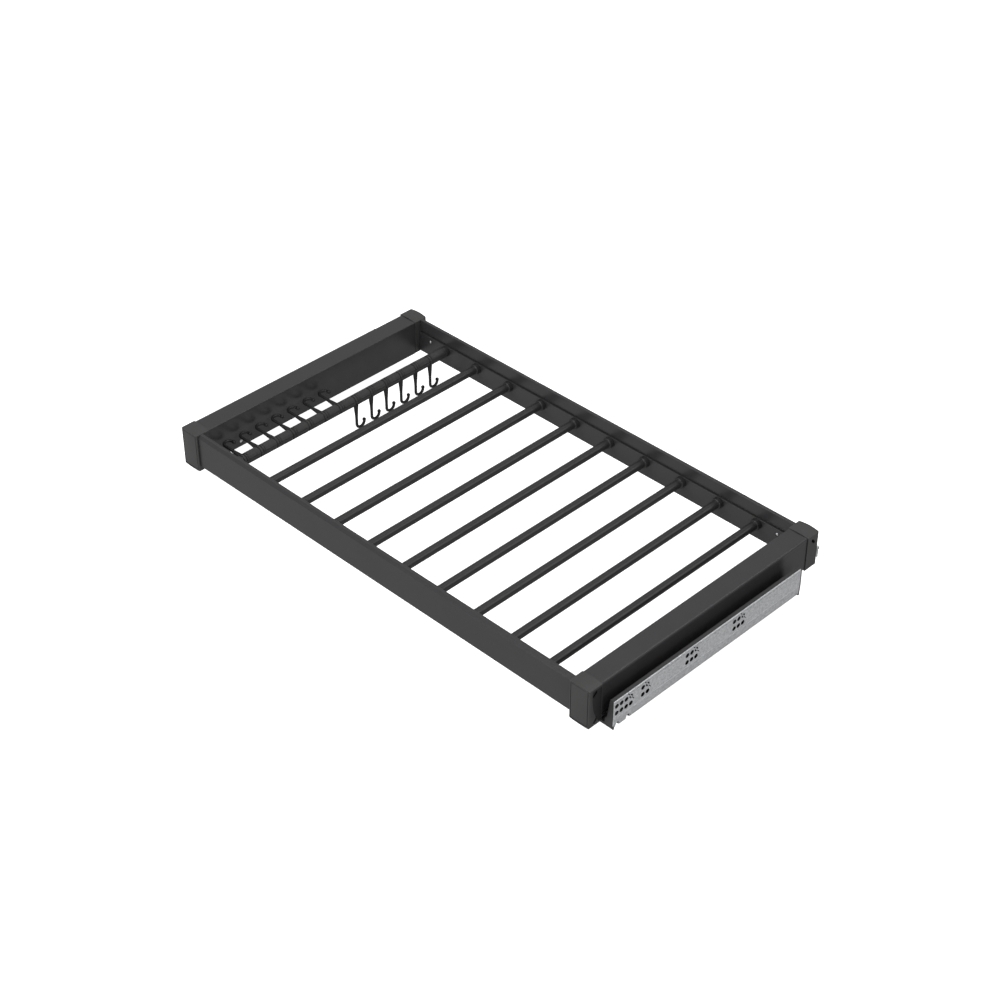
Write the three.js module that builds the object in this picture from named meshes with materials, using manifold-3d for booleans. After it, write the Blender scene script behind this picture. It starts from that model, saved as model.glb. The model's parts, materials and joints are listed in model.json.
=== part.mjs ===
// Pull out trouser rack: a framed set of cross bars with a row of swivel hooks,
// carried on a pair of telescopic runners. Millimetres, +X right, -Y front, +Z up.
import * as THREE from "three";
import * as BufferGeometryUtils from "three/addons/utils/BufferGeometryUtils.js";
import Module from "manifold-3d";

const wasm = await Module();
wasm.setup();

// Frame as a whole. Heights are measured from the top plane of the frame.
const FRAME_WIDTH = 823.6;
const FRAME_DEPTH = 466.8;
const CLEARANCE = 0.3;
const OVERRUN = 4;
const WELD_DISTANCE = 0.0001;

// Corner caps
const CAP_WIDTH = 34.2;
const CAP_DEPTH = 22.5;
const FRONT_CAP_BOTTOM = -63.6;
const REAR_CAP_BOTTOM = -57.3;
const CAP_CROWN = 1.5;
const CAP_TOP = 1.2;
const CAP_BOW = 0.75;
const CAP_EDGE_RADIUS = 1.5;
const CAP_FOOT_RADIUS = 2.4;
const CAP_FOOT_EASE = 0.8;
const CAP_PLUG_LENGTH = 14;
const CAP_RECESS_DEPTH = 1.2;
const CAP_RECESS_TOP = -6;
const CAP_RECESS_REAR_RIM = 1.4;
const CAP_RECESS_RIM = 6.6;
const CAP_RECESS_BELLY = 5.4;
const CAP_RECESS_FOOT_RIM = 2.8;
const CAP_SLOT_WIDTH = 3.2;
const CAP_SLOT_LENGTH = 8;
const CAP_SLOT_DEPTH = 6;
const CAP_SLOT_SLANT = 5.2;
const CAP_UPPER_SLOT_SET = 12.6;
const CAP_UPPER_SLOT_HEIGHT = -12.3;
const CAP_LOWER_SLOT_SET = 13.2;
const CAP_LOWER_SLOT_HEIGHT = -56.2;

// Front and rear rails: a low bead over a deeper box, with a chamfered outer edge
const RAIL_SETBACK = 3.2;
const RAIL_TOP = -0.6;
const RAIL_BOTTOM = -54.7;
const RAIL_WALL = 1.6;
const BEAD_DEPTH = 8.1;
const BEAD_CHAMFER = 4.6;
const BEAD_BOTTOM = -20;
const BEAD_RADIUS = 0.8;
const GROOVE_HEIGHT = 1.4;
const GROOVE_DEPTH = 1.4;
const BOX_DEPTH = 12.1;
const BOX_RADIUS = 0.5;
const FIXING_HOLE_RADIUS = 2.1;
const FIXING_HOLE_SPREAD = 353.1;

// Side rails: a closed box with a skirt that hides the runner from inside
const SIDE_RAIL_INSET = 0.8;
const SIDE_RAIL_WIDTH = 32.6;
const SIDE_RAIL_TOP = -0.2;
const SIDE_RAIL_WALL = 1.8;
const SIDE_RAIL_OUTER_RADIUS = 5;
const SIDE_RAIL_INNER_RADIUS = 2;
const SKIRT_DROP = 3.6;
const CATCH_HOLE_RADIUS = 2;
const CATCH_HOLE_SET = 81;
const CATCH_HOLE_HEIGHT = -48.6;

// Bars
const BAR_COUNT = 10;
const BAR_HEIGHT = -29.8;
const BAR_DIAMETER = 13.3;
const FERRULE_DIAMETER = 17.6;
const FERRULE_LENGTH = 7.6;
const FERRULE_NOSE = 1.2;
const SPIGOT_DIAMETER = 8;
const SPIGOT_REACH = 3.4;

// Swivel hooks and the sleeves that space them along the hook bar
const HOOK_COUNT = 13;
const RAISED_HOOK_COUNT = 7;
const HOOK_START = 40;
const HOOK_END = 50.84;
const RAISED_HOOK_CLEARANCE = 4.9;
const RING_WIDTH = 2.4;
const RING_DIAMETER = 18.4;
const SLEEVE_DIAMETER = 17.4;
const HOOK_REACH = 56.4;
const HOOK_NECK_WIDTH = 9.6;
const HOOK_NECK_END = 22;
const HOOK_WIRE = 5.4;
const HOOK_THICKNESS = 5;
const HOOK_GAP_WIDTH = 10.4;
const HOOK_TIP_RISE = 3.4;
const HOOK_BALL_DIAMETER = 6.4;

// Runner, seen in section: places across are measured out from the cap's outer side
const RUNNER_CENTRE = -13.5;
const SHEET = 1.2;
const DRAWER_HALF_WIDTH = 8.5;
const DRAWER_LIP = 1.3;
const RUNNER_PLAY = 0.3;
const UPPER_ROLLER = 3;
const LOWER_ROLLER = 4.4;
const INTERMEDIATE_LIFT = 2;
const CARRIAGE_LENGTH = 168;
const CARRIAGE_START = 132;
const CARRIAGE_SLOT_COUNT = 6;
const INTERMEDIATE_START = 38;
const INTERMEDIATE_LENGTH = 362;
const DRAWER_START = 38;
const REAR_TAB_SET = 12.2;
const REAR_TAB_TOP = -45.3;
const REAR_LOOP_HEIGHT = -39.6;
const REAR_LOOP_RADIUS = 3.1;
const REAR_LOOP_BORE = 1.3;
const REAR_LOOP_WIDTH = 4.2;

// Cabinet member: pierced web against the cabinet side, bent in to a shelf
const WEB_OUTER = 21.65;
const WEB_SHEET = 1.4;
const WEB_TOP = -19.5;
const WEB_BEND = -53.2;
const WEB_TUCK = 0.9;
const WEB_START = 24.5;
const WEB_HOLE_DIAMETER = 6;
const WEB_HOLE_PITCH = 9;
const WEB_UPPER_ROW = -28.6;
const WEB_LOWER_ROW = -40.6;
const SYSTEM_PITCH = 32;
const FIRST_GROUP_END = 31.9;
const TAB_SLOT_WIDTH = 1.6;
const TAB_SLOT_LENGTH = 14;
const TAB_SLOT_SLANT = 11.4;
const NOTCH_WIDTH = 6.5;
const NOTCH_RISE = 5.2;
const NOTCH_DEPTH = 8;
const FIRST_NOTCH_SET = 8.4;
const SECOND_NOTCH_SET = 26.6;

// Runner cover
const COVER_WALL = 1.3;
const COVER_START = 25.2;
const COVER_LENGTH = 380.8;
const COVER_PLATE = 2;
const COVER_TOP_SET = 14.9;
const COVER_FOOT_SET = 7.1;
const COVER_KNEE = -59.9;

// Counts of facets
const HOLE_SIDES = 10;
const SOCKET_SIDES = 8;
const BAR_SIDES = 12;
const SLEEVE_SIDES = 14;
const HOOK_SIDES = 8;
const HOOK_BEND_STEPS = 6;
const CORNER_STEPS = 3;
const CROWN_STEPS = 6;

// Places that follow from the sizes above
const HALF_WIDTH = FRAME_WIDTH / 2;
const RAIL_END = HALF_WIDTH - CAP_WIDTH - CLEARANCE;
const BOX_TOP = BEAD_BOTTOM - GROOVE_HEIGHT;
const RAIL_FACE = RAIL_SETBACK + BOX_DEPTH;
const BAR_END = RAIL_FACE + CLEARANCE;
const SHELF_THICKNESS = WEB_SHEET;
const DRAWER_TOP = RAIL_BOTTOM - CLEARANCE;
const UPPER_CARRIAGE_TOP = DRAWER_TOP - SHEET - RUNNER_PLAY;
const INTERMEDIATE_TOP = UPPER_CARRIAGE_TOP - UPPER_ROLLER - RUNNER_PLAY;
const DRAWER_LIP_TOP = INTERMEDIATE_TOP - SHEET - RUNNER_PLAY;
const DRAWER_FOOT = DRAWER_LIP_TOP - SHEET;
const LOWER_CARRIAGE_TOP = DRAWER_LIP_TOP;
const SHELF_TOP = LOWER_CARRIAGE_TOP - LOWER_ROLLER - RUNNER_PLAY;
const SHELF_BOTTOM = SHELF_TOP - SHELF_THICKNESS;
const INTERMEDIATE_HALF = DRAWER_HALF_WIDTH - SHEET - RUNNER_PLAY;
const LOWER_WALL_HALF = DRAWER_HALF_WIDTH - SHEET - DRAWER_LIP - RUNNER_PLAY;
const GUIDE_HALF = LOWER_WALL_HALF + RUNNER_PLAY;
const REAR_TAB_FACE = FRAME_DEPTH + REAR_TAB_SET;
const REAR_LOOP_CENTRE = REAR_TAB_FACE - SHEET / 2;
const REAR_MOST = REAR_LOOP_CENTRE + REAR_LOOP_RADIUS * Math.cos(Math.PI / HOLE_SIDES);
const LOWEST = Math.min(SHELF_BOTTOM, BAR_HEIGHT - HOOK_REACH);

const FRAME_COLOUR = 0x3d3c3f;
const CAP_COLOUR = 0x434244;
const BAR_COLOUR = 0x38373a;
const HOOK_COLOUR = 0x2f2f31;
const COVER_COLOUR = 0x2c2c2f;
const STEEL_COLOUR = 0xa7a9ac;
const ROLLER_COLOUR = 0xe4e4e0;

const paint = {
  frame: new THREE.MeshStandardMaterial({ color: FRAME_COLOUR, roughness: 0.55, metalness: 0.3 }),
  cap: new THREE.MeshStandardMaterial({ color: CAP_COLOUR, roughness: 0.5, metalness: 0 }),
  bar: new THREE.MeshStandardMaterial({ color: BAR_COLOUR, roughness: 0.45, metalness: 0.3 }),
  hook: new THREE.MeshStandardMaterial({ color: HOOK_COLOUR, roughness: 0.5, metalness: 0 }),
  cover: new THREE.MeshStandardMaterial({ color: COVER_COLOUR, roughness: 0.6, metalness: 0 }),
  steel: new THREE.MeshStandardMaterial({ color: STEEL_COLOUR, roughness: 0.3, metalness: 1 }),
  roller: new THREE.MeshStandardMaterial({ color: ROLLER_COLOUR, roughness: 0.5, metalness: 0 }),
};

const X = new THREE.Vector3(1, 0, 0);
const Y = new THREE.Vector3(0, 1, 0);
const Z = new THREE.Vector3(0, 0, 1);
// A prism's outline lies in the two other axes; along Y it is drawn as (x, z).
const FRAMES = {
  x: new THREE.Matrix4().makeBasis(Y, Z, X),
  y: new THREE.Matrix4().makeBasis(X, Z, Y.clone().negate()),
  z: new THREE.Matrix4(),
};

/** Turns a closed three.js geometry into a solid that can be joined and cut. */
function solid(geometry) {
  const plain = geometry.index ? geometry.toNonIndexed() : geometry.clone();
  plain.deleteAttribute("normal");
  plain.deleteAttribute("uv");
  const merged = BufferGeometryUtils.mergeVertices(plain, WELD_DISTANCE);
  const index = merged.index.array;
  const triangles = [];
  for (let i = 0; i < index.length; i += 3) {
    const [a, b, c] = [index[i], index[i + 1], index[i + 2]];
    if (a !== b && b !== c && c !== a) triangles.push(a, b, c);
  }
  return new wasm.Manifold(
    new wasm.Mesh({
      numProp: 3,
      vertProperties: new Float32Array(merged.attributes.position.array),
      triVerts: new Uint32Array(triangles),
    }),
  );
}

function geometryOf(body) {
  const mesh = body.getMesh();
  const geometry = new THREE.BufferGeometry();
  geometry.setAttribute("position", new THREE.Float32BufferAttribute(mesh.vertProperties, 3));
  geometry.setIndex(new THREE.BufferAttribute(new Uint32Array(mesh.triVerts), 1));
  geometry.computeVertexNormals();
  return geometry;
}

/** Rounds the corners of an outline; each corner is [a, b] or [a, b, radius]. */
function rounded(corners, steps = CORNER_STEPS) {
  const outline = [];
  corners.forEach(([a, b, radius = 0], i) => {
    const here = new THREE.Vector2(a, b);
    if (radius === 0) {
      outline.push(here);
      return;
    }
    const before = new THREE.Vector2(...corners.at(i - 1).slice(0, 2)).sub(here).normalize();
    const after = new THREE.Vector2(...corners[(i + 1) % corners.length].slice(0, 2)).sub(here).normalize();
    const half = Math.acos(before.dot(after)) / 2;
    const start = here.clone().addScaledVector(before, radius / Math.tan(half));
    const centre = here.clone().addScaledVector(before.clone().add(after).normalize(), radius / Math.sin(half));
    const from = start.clone().sub(centre);
    const turn = (Math.PI - 2 * half) * Math.sign(after.cross(before));
    for (let k = 0; k <= steps; k += 1) {
      outline.push(from.clone().rotateAround(new THREE.Vector2(), (turn * k) / steps).add(centre));
    }
  });
  return outline;
}

function rectangle(a0, b0, a1, b1) {
  return rounded([[a0, b0], [a1, b0], [a1, b1], [a0, b1]]);
}

function circle(a, b, radius, sides = HOLE_SIDES) {
  return Array.from({ length: sides }, (_, k) => {
    const angle = (2 * Math.PI * (k + 1 / 2)) / sides;
    return new THREE.Vector2(a + radius * Math.cos(angle), b + radius * Math.sin(angle));
  });
}

/** A circle whose flats clear the given radius, for a hole that something round fits. */
function boreCircle(a, b, radius, sides) {
  return circle(a, b, radius / Math.cos(Math.PI / sides), sides);
}

/** A long hole with round ends, its lower end moved by the slant. */
function slot(a, b, width, length, slant, sides = HOLE_SIDES) {
  const reach = new THREE.Vector2(slant, length - width).multiplyScalar(1 / 2);
  const lean = Math.atan2(reach.y, reach.x) - Math.PI / 2;
  return Array.from({ length: sides + 2 }, (_, k) => {
    const far = k > sides / 2;
    const angle = lean + (2 * Math.PI * (far ? k - 1 : k)) / sides;
    const sign = far ? -1 : 1;
    return new THREE.Vector2(
      a + sign * reach.x + (width / 2) * Math.cos(angle),
      b + sign * reach.y + (width / 2) * Math.sin(angle),
    );
  });
}

/** Extrudes an outline along one axis, from one place to another on it. */
function prism(axis, outline, from, to, holes = []) {
  const [low, high] = [Math.min(from, to), Math.max(from, to)];
  const shape = new THREE.Shape(outline);
  const geometry = new THREE.ExtrudeGeometry(shape, { depth: high - low, bevelEnabled: false });
  geometry.applyMatrix4(FRAMES[axis]);
  if (axis === "x") geometry.translate(low, 0, 0);
  if (axis === "y") geometry.translate(0, high, 0);
  if (axis === "z") geometry.translate(0, 0, low);
  const cutter = (hole) => prism(axis, hole, low - OVERRUN, high + OVERRUN);
  return holes.reduce((body, hole) => body.subtract(cutter(hole)), solid(geometry));
}

/** Maps outlines drawn inward from the frame's outer sides to the frame itself. */
function placement(side, end) {
  return {
    x: (inward) => side * (HALF_WIDTH - inward),
    y: (inward) => (end === "front" ? inward : FRAME_DEPTH - inward),
    acrossX(corners) {
      return corners.map(([a, ...rest]) => [this.x(a), ...rest]);
    },
    acrossY(corners) {
      return corners.map(([a, ...rest]) => [this.y(a), ...rest]);
    },
  };
}

function mesh(name, body, material) {
  const piece = new THREE.Mesh(geometryOf(body), material);
  piece.name = name;
  return piece;
}

/**
 * Centre of each bar, from the hook bar at the left to the last bar at the right. The outer bars
 * stand in from the side rails by the reach of a raised hook, and the rest share the width.
 */
function barPlaces() {
  const margin = SIDE_RAIL_INSET + SIDE_RAIL_WIDTH + HOOK_REACH + RAISED_HOOK_CLEARANCE;
  const pitch = (FRAME_WIDTH - 2 * margin) / (BAR_COUNT - 1);
  return Array.from({ length: BAR_COUNT }, (_, i) => (i - (BAR_COUNT - 1) / 2) * pitch);
}

function endRail(end) {
  const place = placement(1, end);
  const outline = rounded(
    place.acrossY([
      [RAIL_SETBACK, RAIL_BOTTOM, BOX_RADIUS],
      [RAIL_SETBACK, RAIL_TOP - BEAD_CHAMFER],
      [RAIL_SETBACK + BEAD_CHAMFER, RAIL_TOP],
      [RAIL_SETBACK + BEAD_DEPTH, RAIL_TOP, BEAD_RADIUS],
      [RAIL_SETBACK + BEAD_DEPTH, BEAD_BOTTOM],
      [RAIL_SETBACK + BEAD_DEPTH - GROOVE_DEPTH, BEAD_BOTTOM],
      [RAIL_SETBACK + BEAD_DEPTH - GROOVE_DEPTH, BOX_TOP],
      [RAIL_FACE, BOX_TOP, BOX_RADIUS],
      [RAIL_FACE, RAIL_BOTTOM, BOX_RADIUS],
    ]),
  );
  const slope = RAIL_WALL * Math.tan(Math.PI / 8);
  const upper = rounded(
    place.acrossY([
      [RAIL_SETBACK + RAIL_WALL, BEAD_BOTTOM + RAIL_WALL],
      [RAIL_SETBACK + RAIL_WALL, RAIL_TOP - BEAD_CHAMFER - slope],
      [RAIL_SETBACK + BEAD_CHAMFER + slope, RAIL_TOP - RAIL_WALL],
      [RAIL_SETBACK + BEAD_DEPTH - RAIL_WALL, RAIL_TOP - RAIL_WALL],
      [RAIL_SETBACK + BEAD_DEPTH - RAIL_WALL, BEAD_BOTTOM + RAIL_WALL],
    ]),
  );
  const lower = rounded(
    place.acrossY([
      [RAIL_SETBACK + RAIL_WALL, RAIL_BOTTOM + RAIL_WALL],
      [RAIL_SETBACK + RAIL_WALL, BOX_TOP - RAIL_WALL],
      [RAIL_FACE - RAIL_WALL, BOX_TOP - RAIL_WALL],
      [RAIL_FACE - RAIL_WALL, RAIL_BOTTOM + RAIL_WALL],
    ]),
  );
  let rail = prism("x", outline, -RAIL_END, RAIL_END, [upper, lower]);
  const socket = SPIGOT_DIAMETER / 2 + CLEARANCE;
  for (const x of barPlaces()) {
    const bore = boreCircle(x, BAR_HEIGHT, socket, SOCKET_SIDES);
    rail = rail.subtract(prism("y", bore, place.y(RAIL_FACE - RAIL_WALL - CLEARANCE), place.y(RAIL_FACE + OVERRUN)));
  }
  for (const side of end === "rear" ? [-1, 1] : []) {
    const hole = circle(side * FIXING_HOLE_SPREAD, BAR_HEIGHT, FIXING_HOLE_RADIUS);
    rail = rail.subtract(prism("y", hole, place.y(RAIL_SETBACK - OVERRUN), place.y(RAIL_FACE + OVERRUN)));
  }
  return rail;
}

function sideRail(side) {
  const place = placement(side, "front");
  const outer = SIDE_RAIL_INSET;
  const inner = SIDE_RAIL_INSET + SIDE_RAIL_WIDTH;
  const skirt = RAIL_BOTTOM - SKIRT_DROP;
  const outline = rounded(
    place.acrossX([
      [outer, RAIL_BOTTOM],
      [outer, SIDE_RAIL_TOP, SIDE_RAIL_OUTER_RADIUS],
      [inner, SIDE_RAIL_TOP, SIDE_RAIL_INNER_RADIUS],
      [inner, skirt],
      [inner - SIDE_RAIL_WALL, skirt],
      [inner - SIDE_RAIL_WALL, RAIL_BOTTOM],
    ]),
  );
  const chamber = rounded(
    place.acrossX([
      [outer + SIDE_RAIL_WALL, RAIL_BOTTOM + SIDE_RAIL_WALL],
      [outer + SIDE_RAIL_WALL, SIDE_RAIL_TOP - SIDE_RAIL_WALL, SIDE_RAIL_OUTER_RADIUS - SIDE_RAIL_WALL],
      [inner - SIDE_RAIL_WALL, SIDE_RAIL_TOP - SIDE_RAIL_WALL],
      [inner - SIDE_RAIL_WALL, RAIL_BOTTOM + SIDE_RAIL_WALL],
    ]),
  );
  const end = CAP_DEPTH + CLEARANCE;
  const rail = prism("y", outline, end, FRAME_DEPTH - end, [chamber]);
  const hole = circle(CATCH_HOLE_SET, CATCH_HOLE_HEIGHT, CATCH_HOLE_RADIUS);
  return rail.subtract(prism("x", hole, place.x(inner - SIDE_RAIL_WALL - CLEARANCE), place.x(inner + OVERRUN)));
}

/** Height of the cap's crowned top across its width. */
function crownedTop() {
  return Array.from({ length: CROWN_STEPS + 1 }, (_, k) => {
    const share = (2 * k) / CROWN_STEPS - 1;
    return [(CAP_WIDTH * k) / CROWN_STEPS, CAP_TOP - CAP_CROWN * share * share];
  });
}

/** The cap's outer end in plan, bowed a little across its width. */
function bowedEnd() {
  const inner = Array.from({ length: CROWN_STEPS - 1 }, (_, k) => {
    const share = (2 * (k + 1)) / CROWN_STEPS - 1;
    return [(CAP_WIDTH * (k + 1)) / CROWN_STEPS, CAP_BOW * (share * share - 1)];
  });
  return [[0, 0, CAP_EDGE_RADIUS], ...inner, [CAP_WIDTH, 0, CAP_EDGE_RADIUS]];
}

function cornerCap(side, end) {
  const place = placement(side, end);
  const bottom = end === "front" ? FRONT_CAP_BOTTOM : REAR_CAP_BOTTOM;
  // The foot is well rounded at the left on every cap and only eased at the right.
  const [innerFoot, outerFoot] = side > 0 ? [CAP_FOOT_RADIUS, CAP_FOOT_EASE] : [CAP_FOOT_EASE, CAP_FOOT_RADIUS];
  const front = rounded(
    place.acrossX([[CAP_WIDTH, bottom, innerFoot], [0, bottom, outerFoot], ...crownedTop()]),
  );
  const plan = rounded(
    bowedEnd()
      .concat([[CAP_WIDTH, CAP_DEPTH], [0, CAP_DEPTH]])
      .map(([a, b, radius]) => [place.x(a), place.y(b), radius ?? 0]),
  );
  let cap = prism("y", front, place.y(-CAP_BOW - OVERRUN), place.y(CAP_DEPTH)).intersect(
    prism("z", plan, bottom - OVERRUN, CAP_TOP + OVERRUN),
  );
  const sidePlug = place.acrossX([
    [SIDE_RAIL_INSET + SIDE_RAIL_WALL + CLEARANCE, RAIL_BOTTOM + SIDE_RAIL_WALL + CLEARANCE],
    [SIDE_RAIL_INSET + SIDE_RAIL_WALL + CLEARANCE, SIDE_RAIL_TOP - SIDE_RAIL_OUTER_RADIUS],
    [SIDE_RAIL_INSET + SIDE_RAIL_WIDTH - SIDE_RAIL_WALL - CLEARANCE, SIDE_RAIL_TOP - SIDE_RAIL_OUTER_RADIUS],
    [SIDE_RAIL_INSET + SIDE_RAIL_WIDTH - SIDE_RAIL_WALL - CLEARANCE, RAIL_BOTTOM + SIDE_RAIL_WALL + CLEARANCE],
  ]);
  const endPlug = place.acrossY([
    [RAIL_SETBACK + RAIL_WALL + CLEARANCE, RAIL_BOTTOM + RAIL_WALL + CLEARANCE],
    [RAIL_SETBACK + RAIL_WALL + CLEARANCE, BOX_TOP - RAIL_WALL - CLEARANCE],
    [RAIL_FACE - RAIL_WALL - CLEARANCE, BOX_TOP - RAIL_WALL - CLEARANCE],
    [RAIL_FACE - RAIL_WALL - CLEARANCE, RAIL_BOTTOM + RAIL_WALL + CLEARANCE],
  ]);
  cap = cap
    .add(prism("y", rounded(sidePlug), place.y(CAP_DEPTH - CLEARANCE), place.y(CAP_DEPTH + CAP_PLUG_LENGTH)))
    .add(prism("x", rounded(endPlug), place.x(CAP_WIDTH - CLEARANCE), place.x(CAP_WIDTH + CAP_PLUG_LENGTH)));
  const slots = [[CAP_UPPER_SLOT_SET, CAP_UPPER_SLOT_HEIGHT]];
  if (end === "front") {
    slots.push([CAP_LOWER_SLOT_SET, CAP_LOWER_SLOT_HEIGHT]);
    cap = cap.subtract(prism("x", capRecess(place), place.x(CAP_RECESS_DEPTH), place.x(-OVERRUN)));
  } else {
    const channel = place.acrossX([
      [-RUNNER_CENTRE - DRAWER_HALF_WIDTH - CLEARANCE, DRAWER_TOP + CLEARANCE],
      [-RUNNER_CENTRE - DRAWER_HALF_WIDTH - CLEARANCE, REAR_CAP_BOTTOM - OVERRUN],
      [-RUNNER_CENTRE + DRAWER_HALF_WIDTH + CLEARANCE, REAR_CAP_BOTTOM - OVERRUN],
      [-RUNNER_CENTRE + DRAWER_HALF_WIDTH + CLEARANCE, DRAWER_TOP + CLEARANCE],
    ]);
    cap = cap.subtract(prism("y", rounded(channel), place.y(-CAP_BOW - OVERRUN), place.y(CAP_DEPTH + OVERRUN)));
  }
  for (const [set, height] of slots) {
    const lean = end === "front" ? CAP_SLOT_SLANT : -CAP_SLOT_SLANT;
    const hole = slot(place.y(set), height, CAP_SLOT_WIDTH, CAP_SLOT_LENGTH, lean / 2);
    cap = cap.subtract(prism("x", hole, place.x(CAP_SLOT_DEPTH), place.x(-OVERRUN)));
  }
  return cap;
}

/** The sunk field on a front cap's outer side, its front rim swelling toward the foot. */
function capRecess(place) {
  const foot = FRONT_CAP_BOTTOM + CAP_RECESS_FOOT_RIM;
  const rear = CAP_DEPTH - CAP_RECESS_REAR_RIM;
  const rim = Array.from({ length: CROWN_STEPS + 1 }, (_, k) => {
    const share = k / CROWN_STEPS;
    const swell = Math.sin(Math.PI * share * share) ** 2;
    return [CAP_RECESS_RIM + CAP_RECESS_BELLY * swell, CAP_RECESS_TOP + (foot - CAP_RECESS_TOP) * share];
  });
  return rounded(place.acrossY([...rim, [rear, foot], [rear, CAP_RECESS_TOP]]));
}

/** A bar turned about its own axis, with a ferrule and a spigot at each end. */
function bar() {
  const ferrule = FERRULE_DIAMETER / 2;
  const half = [
    [0, BAR_END - CLEARANCE - SPIGOT_REACH + RAIL_WALL],
    [SPIGOT_DIAMETER / 2, BAR_END - CLEARANCE - SPIGOT_REACH + RAIL_WALL],
    [SPIGOT_DIAMETER / 2, BAR_END],
    [ferrule, BAR_END],
    [ferrule, BAR_END + FERRULE_LENGTH - FERRULE_NOSE],
    [ferrule - FERRULE_NOSE, BAR_END + FERRULE_LENGTH],
    [BAR_DIAMETER / 2, BAR_END + FERRULE_LENGTH],
  ];
  const other = half.map(([radius, y]) => [radius, FRAME_DEPTH - y]).reverse();
  const profile = [...half, ...other].map(([radius, y]) => new THREE.Vector2(radius, y));
  return solid(new THREE.LatheGeometry(profile, BAR_SIDES));
}

function sleeve(from, to) {
  const bore = BAR_DIAMETER / 2 + CLEARANCE;
  return prism("y", circle(0, 0, SLEEVE_DIAMETER / 2, SLEEVE_SIDES), from, to, [
    boreCircle(0, 0, bore, SLEEVE_SIDES),
  ]);
}

/** Rings of points round a line in the YZ plane, skinned and closed at both ends. */
function loft(stations, sides = HOOK_SIDES) {
  const points = [];
  for (const { y, z, heading, across, through } of stations) {
    for (let k = 0; k < sides; k += 1) {
      const angle = (2 * Math.PI * (k + 1 / 2)) / sides;
      const out = across * Math.cos(angle);
      points.push(through * Math.sin(angle), y - out * Math.sin(heading), z + out * Math.cos(heading));
    }
  }
  const faces = [];
  for (let i = 0; i + 1 < stations.length; i += 1) {
    for (let k = 0; k < sides; k += 1) {
      const [a, b] = [i * sides + k, i * sides + ((k + 1) % sides)];
      faces.push(a, b, a + sides, b, b + sides, a + sides);
    }
  }
  const last = (stations.length - 1) * sides;
  for (let k = 1; k + 1 < sides; k += 1) faces.push(0, k + 1, k, last, last + k, last + k + 1);
  const geometry = new THREE.BufferGeometry();
  geometry.setAttribute("position", new THREE.Float32BufferAttribute(points, 3));
  geometry.setIndex(faces);
  return solid(geometry);
}

/** A hook hanging from its ring, the ring's axis being Y through the origin. */
function hook() {
  const bend = (HOOK_GAP_WIDTH + HOOK_WIRE) / 2;
  const turn = -HOOK_REACH + bend + HOOK_WIRE / 2;
  const ringRadius = RING_DIAMETER / 2;
  const wire = HOOK_WIRE / 2;
  const thick = HOOK_THICKNESS / 2;
  const ballRadius = HOOK_BALL_DIAMETER / 2;
  const down = -Math.PI / 2;
  const stations = [
    { y: 0, z: -ringRadius, heading: down, across: HOOK_NECK_WIDTH / 2, through: thick },
    { y: 0, z: -HOOK_NECK_END, heading: down, across: wire, through: thick },
  ];
  for (let k = 0; k <= HOOK_BEND_STEPS; k += 1) {
    const angle = (Math.PI * k) / HOOK_BEND_STEPS;
    stations.push({
      y: bend - bend * Math.cos(angle),
      z: turn - bend * Math.sin(angle),
      heading: down + angle,
      across: wire,
      through: thick,
    });
  }
  const tip = turn + HOOK_TIP_RISE;
  const rise = { y: 2 * bend, heading: -down };
  stations.push({ ...rise, z: tip - ballRadius, across: wire, through: thick });
  for (const share of [-1 / 2, 1 / 2, 1]) {
    const girth = ballRadius * Math.sqrt(1 - share * share) + wire / 2 * (share === 1 ? 1 : 0);
    stations.push({ ...rise, z: tip + ballRadius * share, across: girth, through: girth });
  }
  const ring = prism("y", circle(0, 0, ringRadius, SLEEVE_SIDES), -RING_WIDTH / 2, RING_WIDTH / 2, [
    boreCircle(0, 0, BAR_DIAMETER / 2 + CLEARANCE, SLEEVE_SIDES),
  ]);
  const root = rectangle(-thick, -ringRadius - CLEARANCE, thick, -ringRadius + RING_WIDTH / 2);
  return loft(stations).add(ring).add(prism("y", root, -RING_WIDTH / 2, RING_WIDTH / 2));
}

/** Outline of a bent sheet or channel, drawn about the runner's centre line. */
function aboutRunner(side, corners) {
  return rounded(corners.map(([a, b, radius = 0]) => [side * (HALF_WIDTH + RUNNER_CENTRE + a), b, radius]));
}

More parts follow.
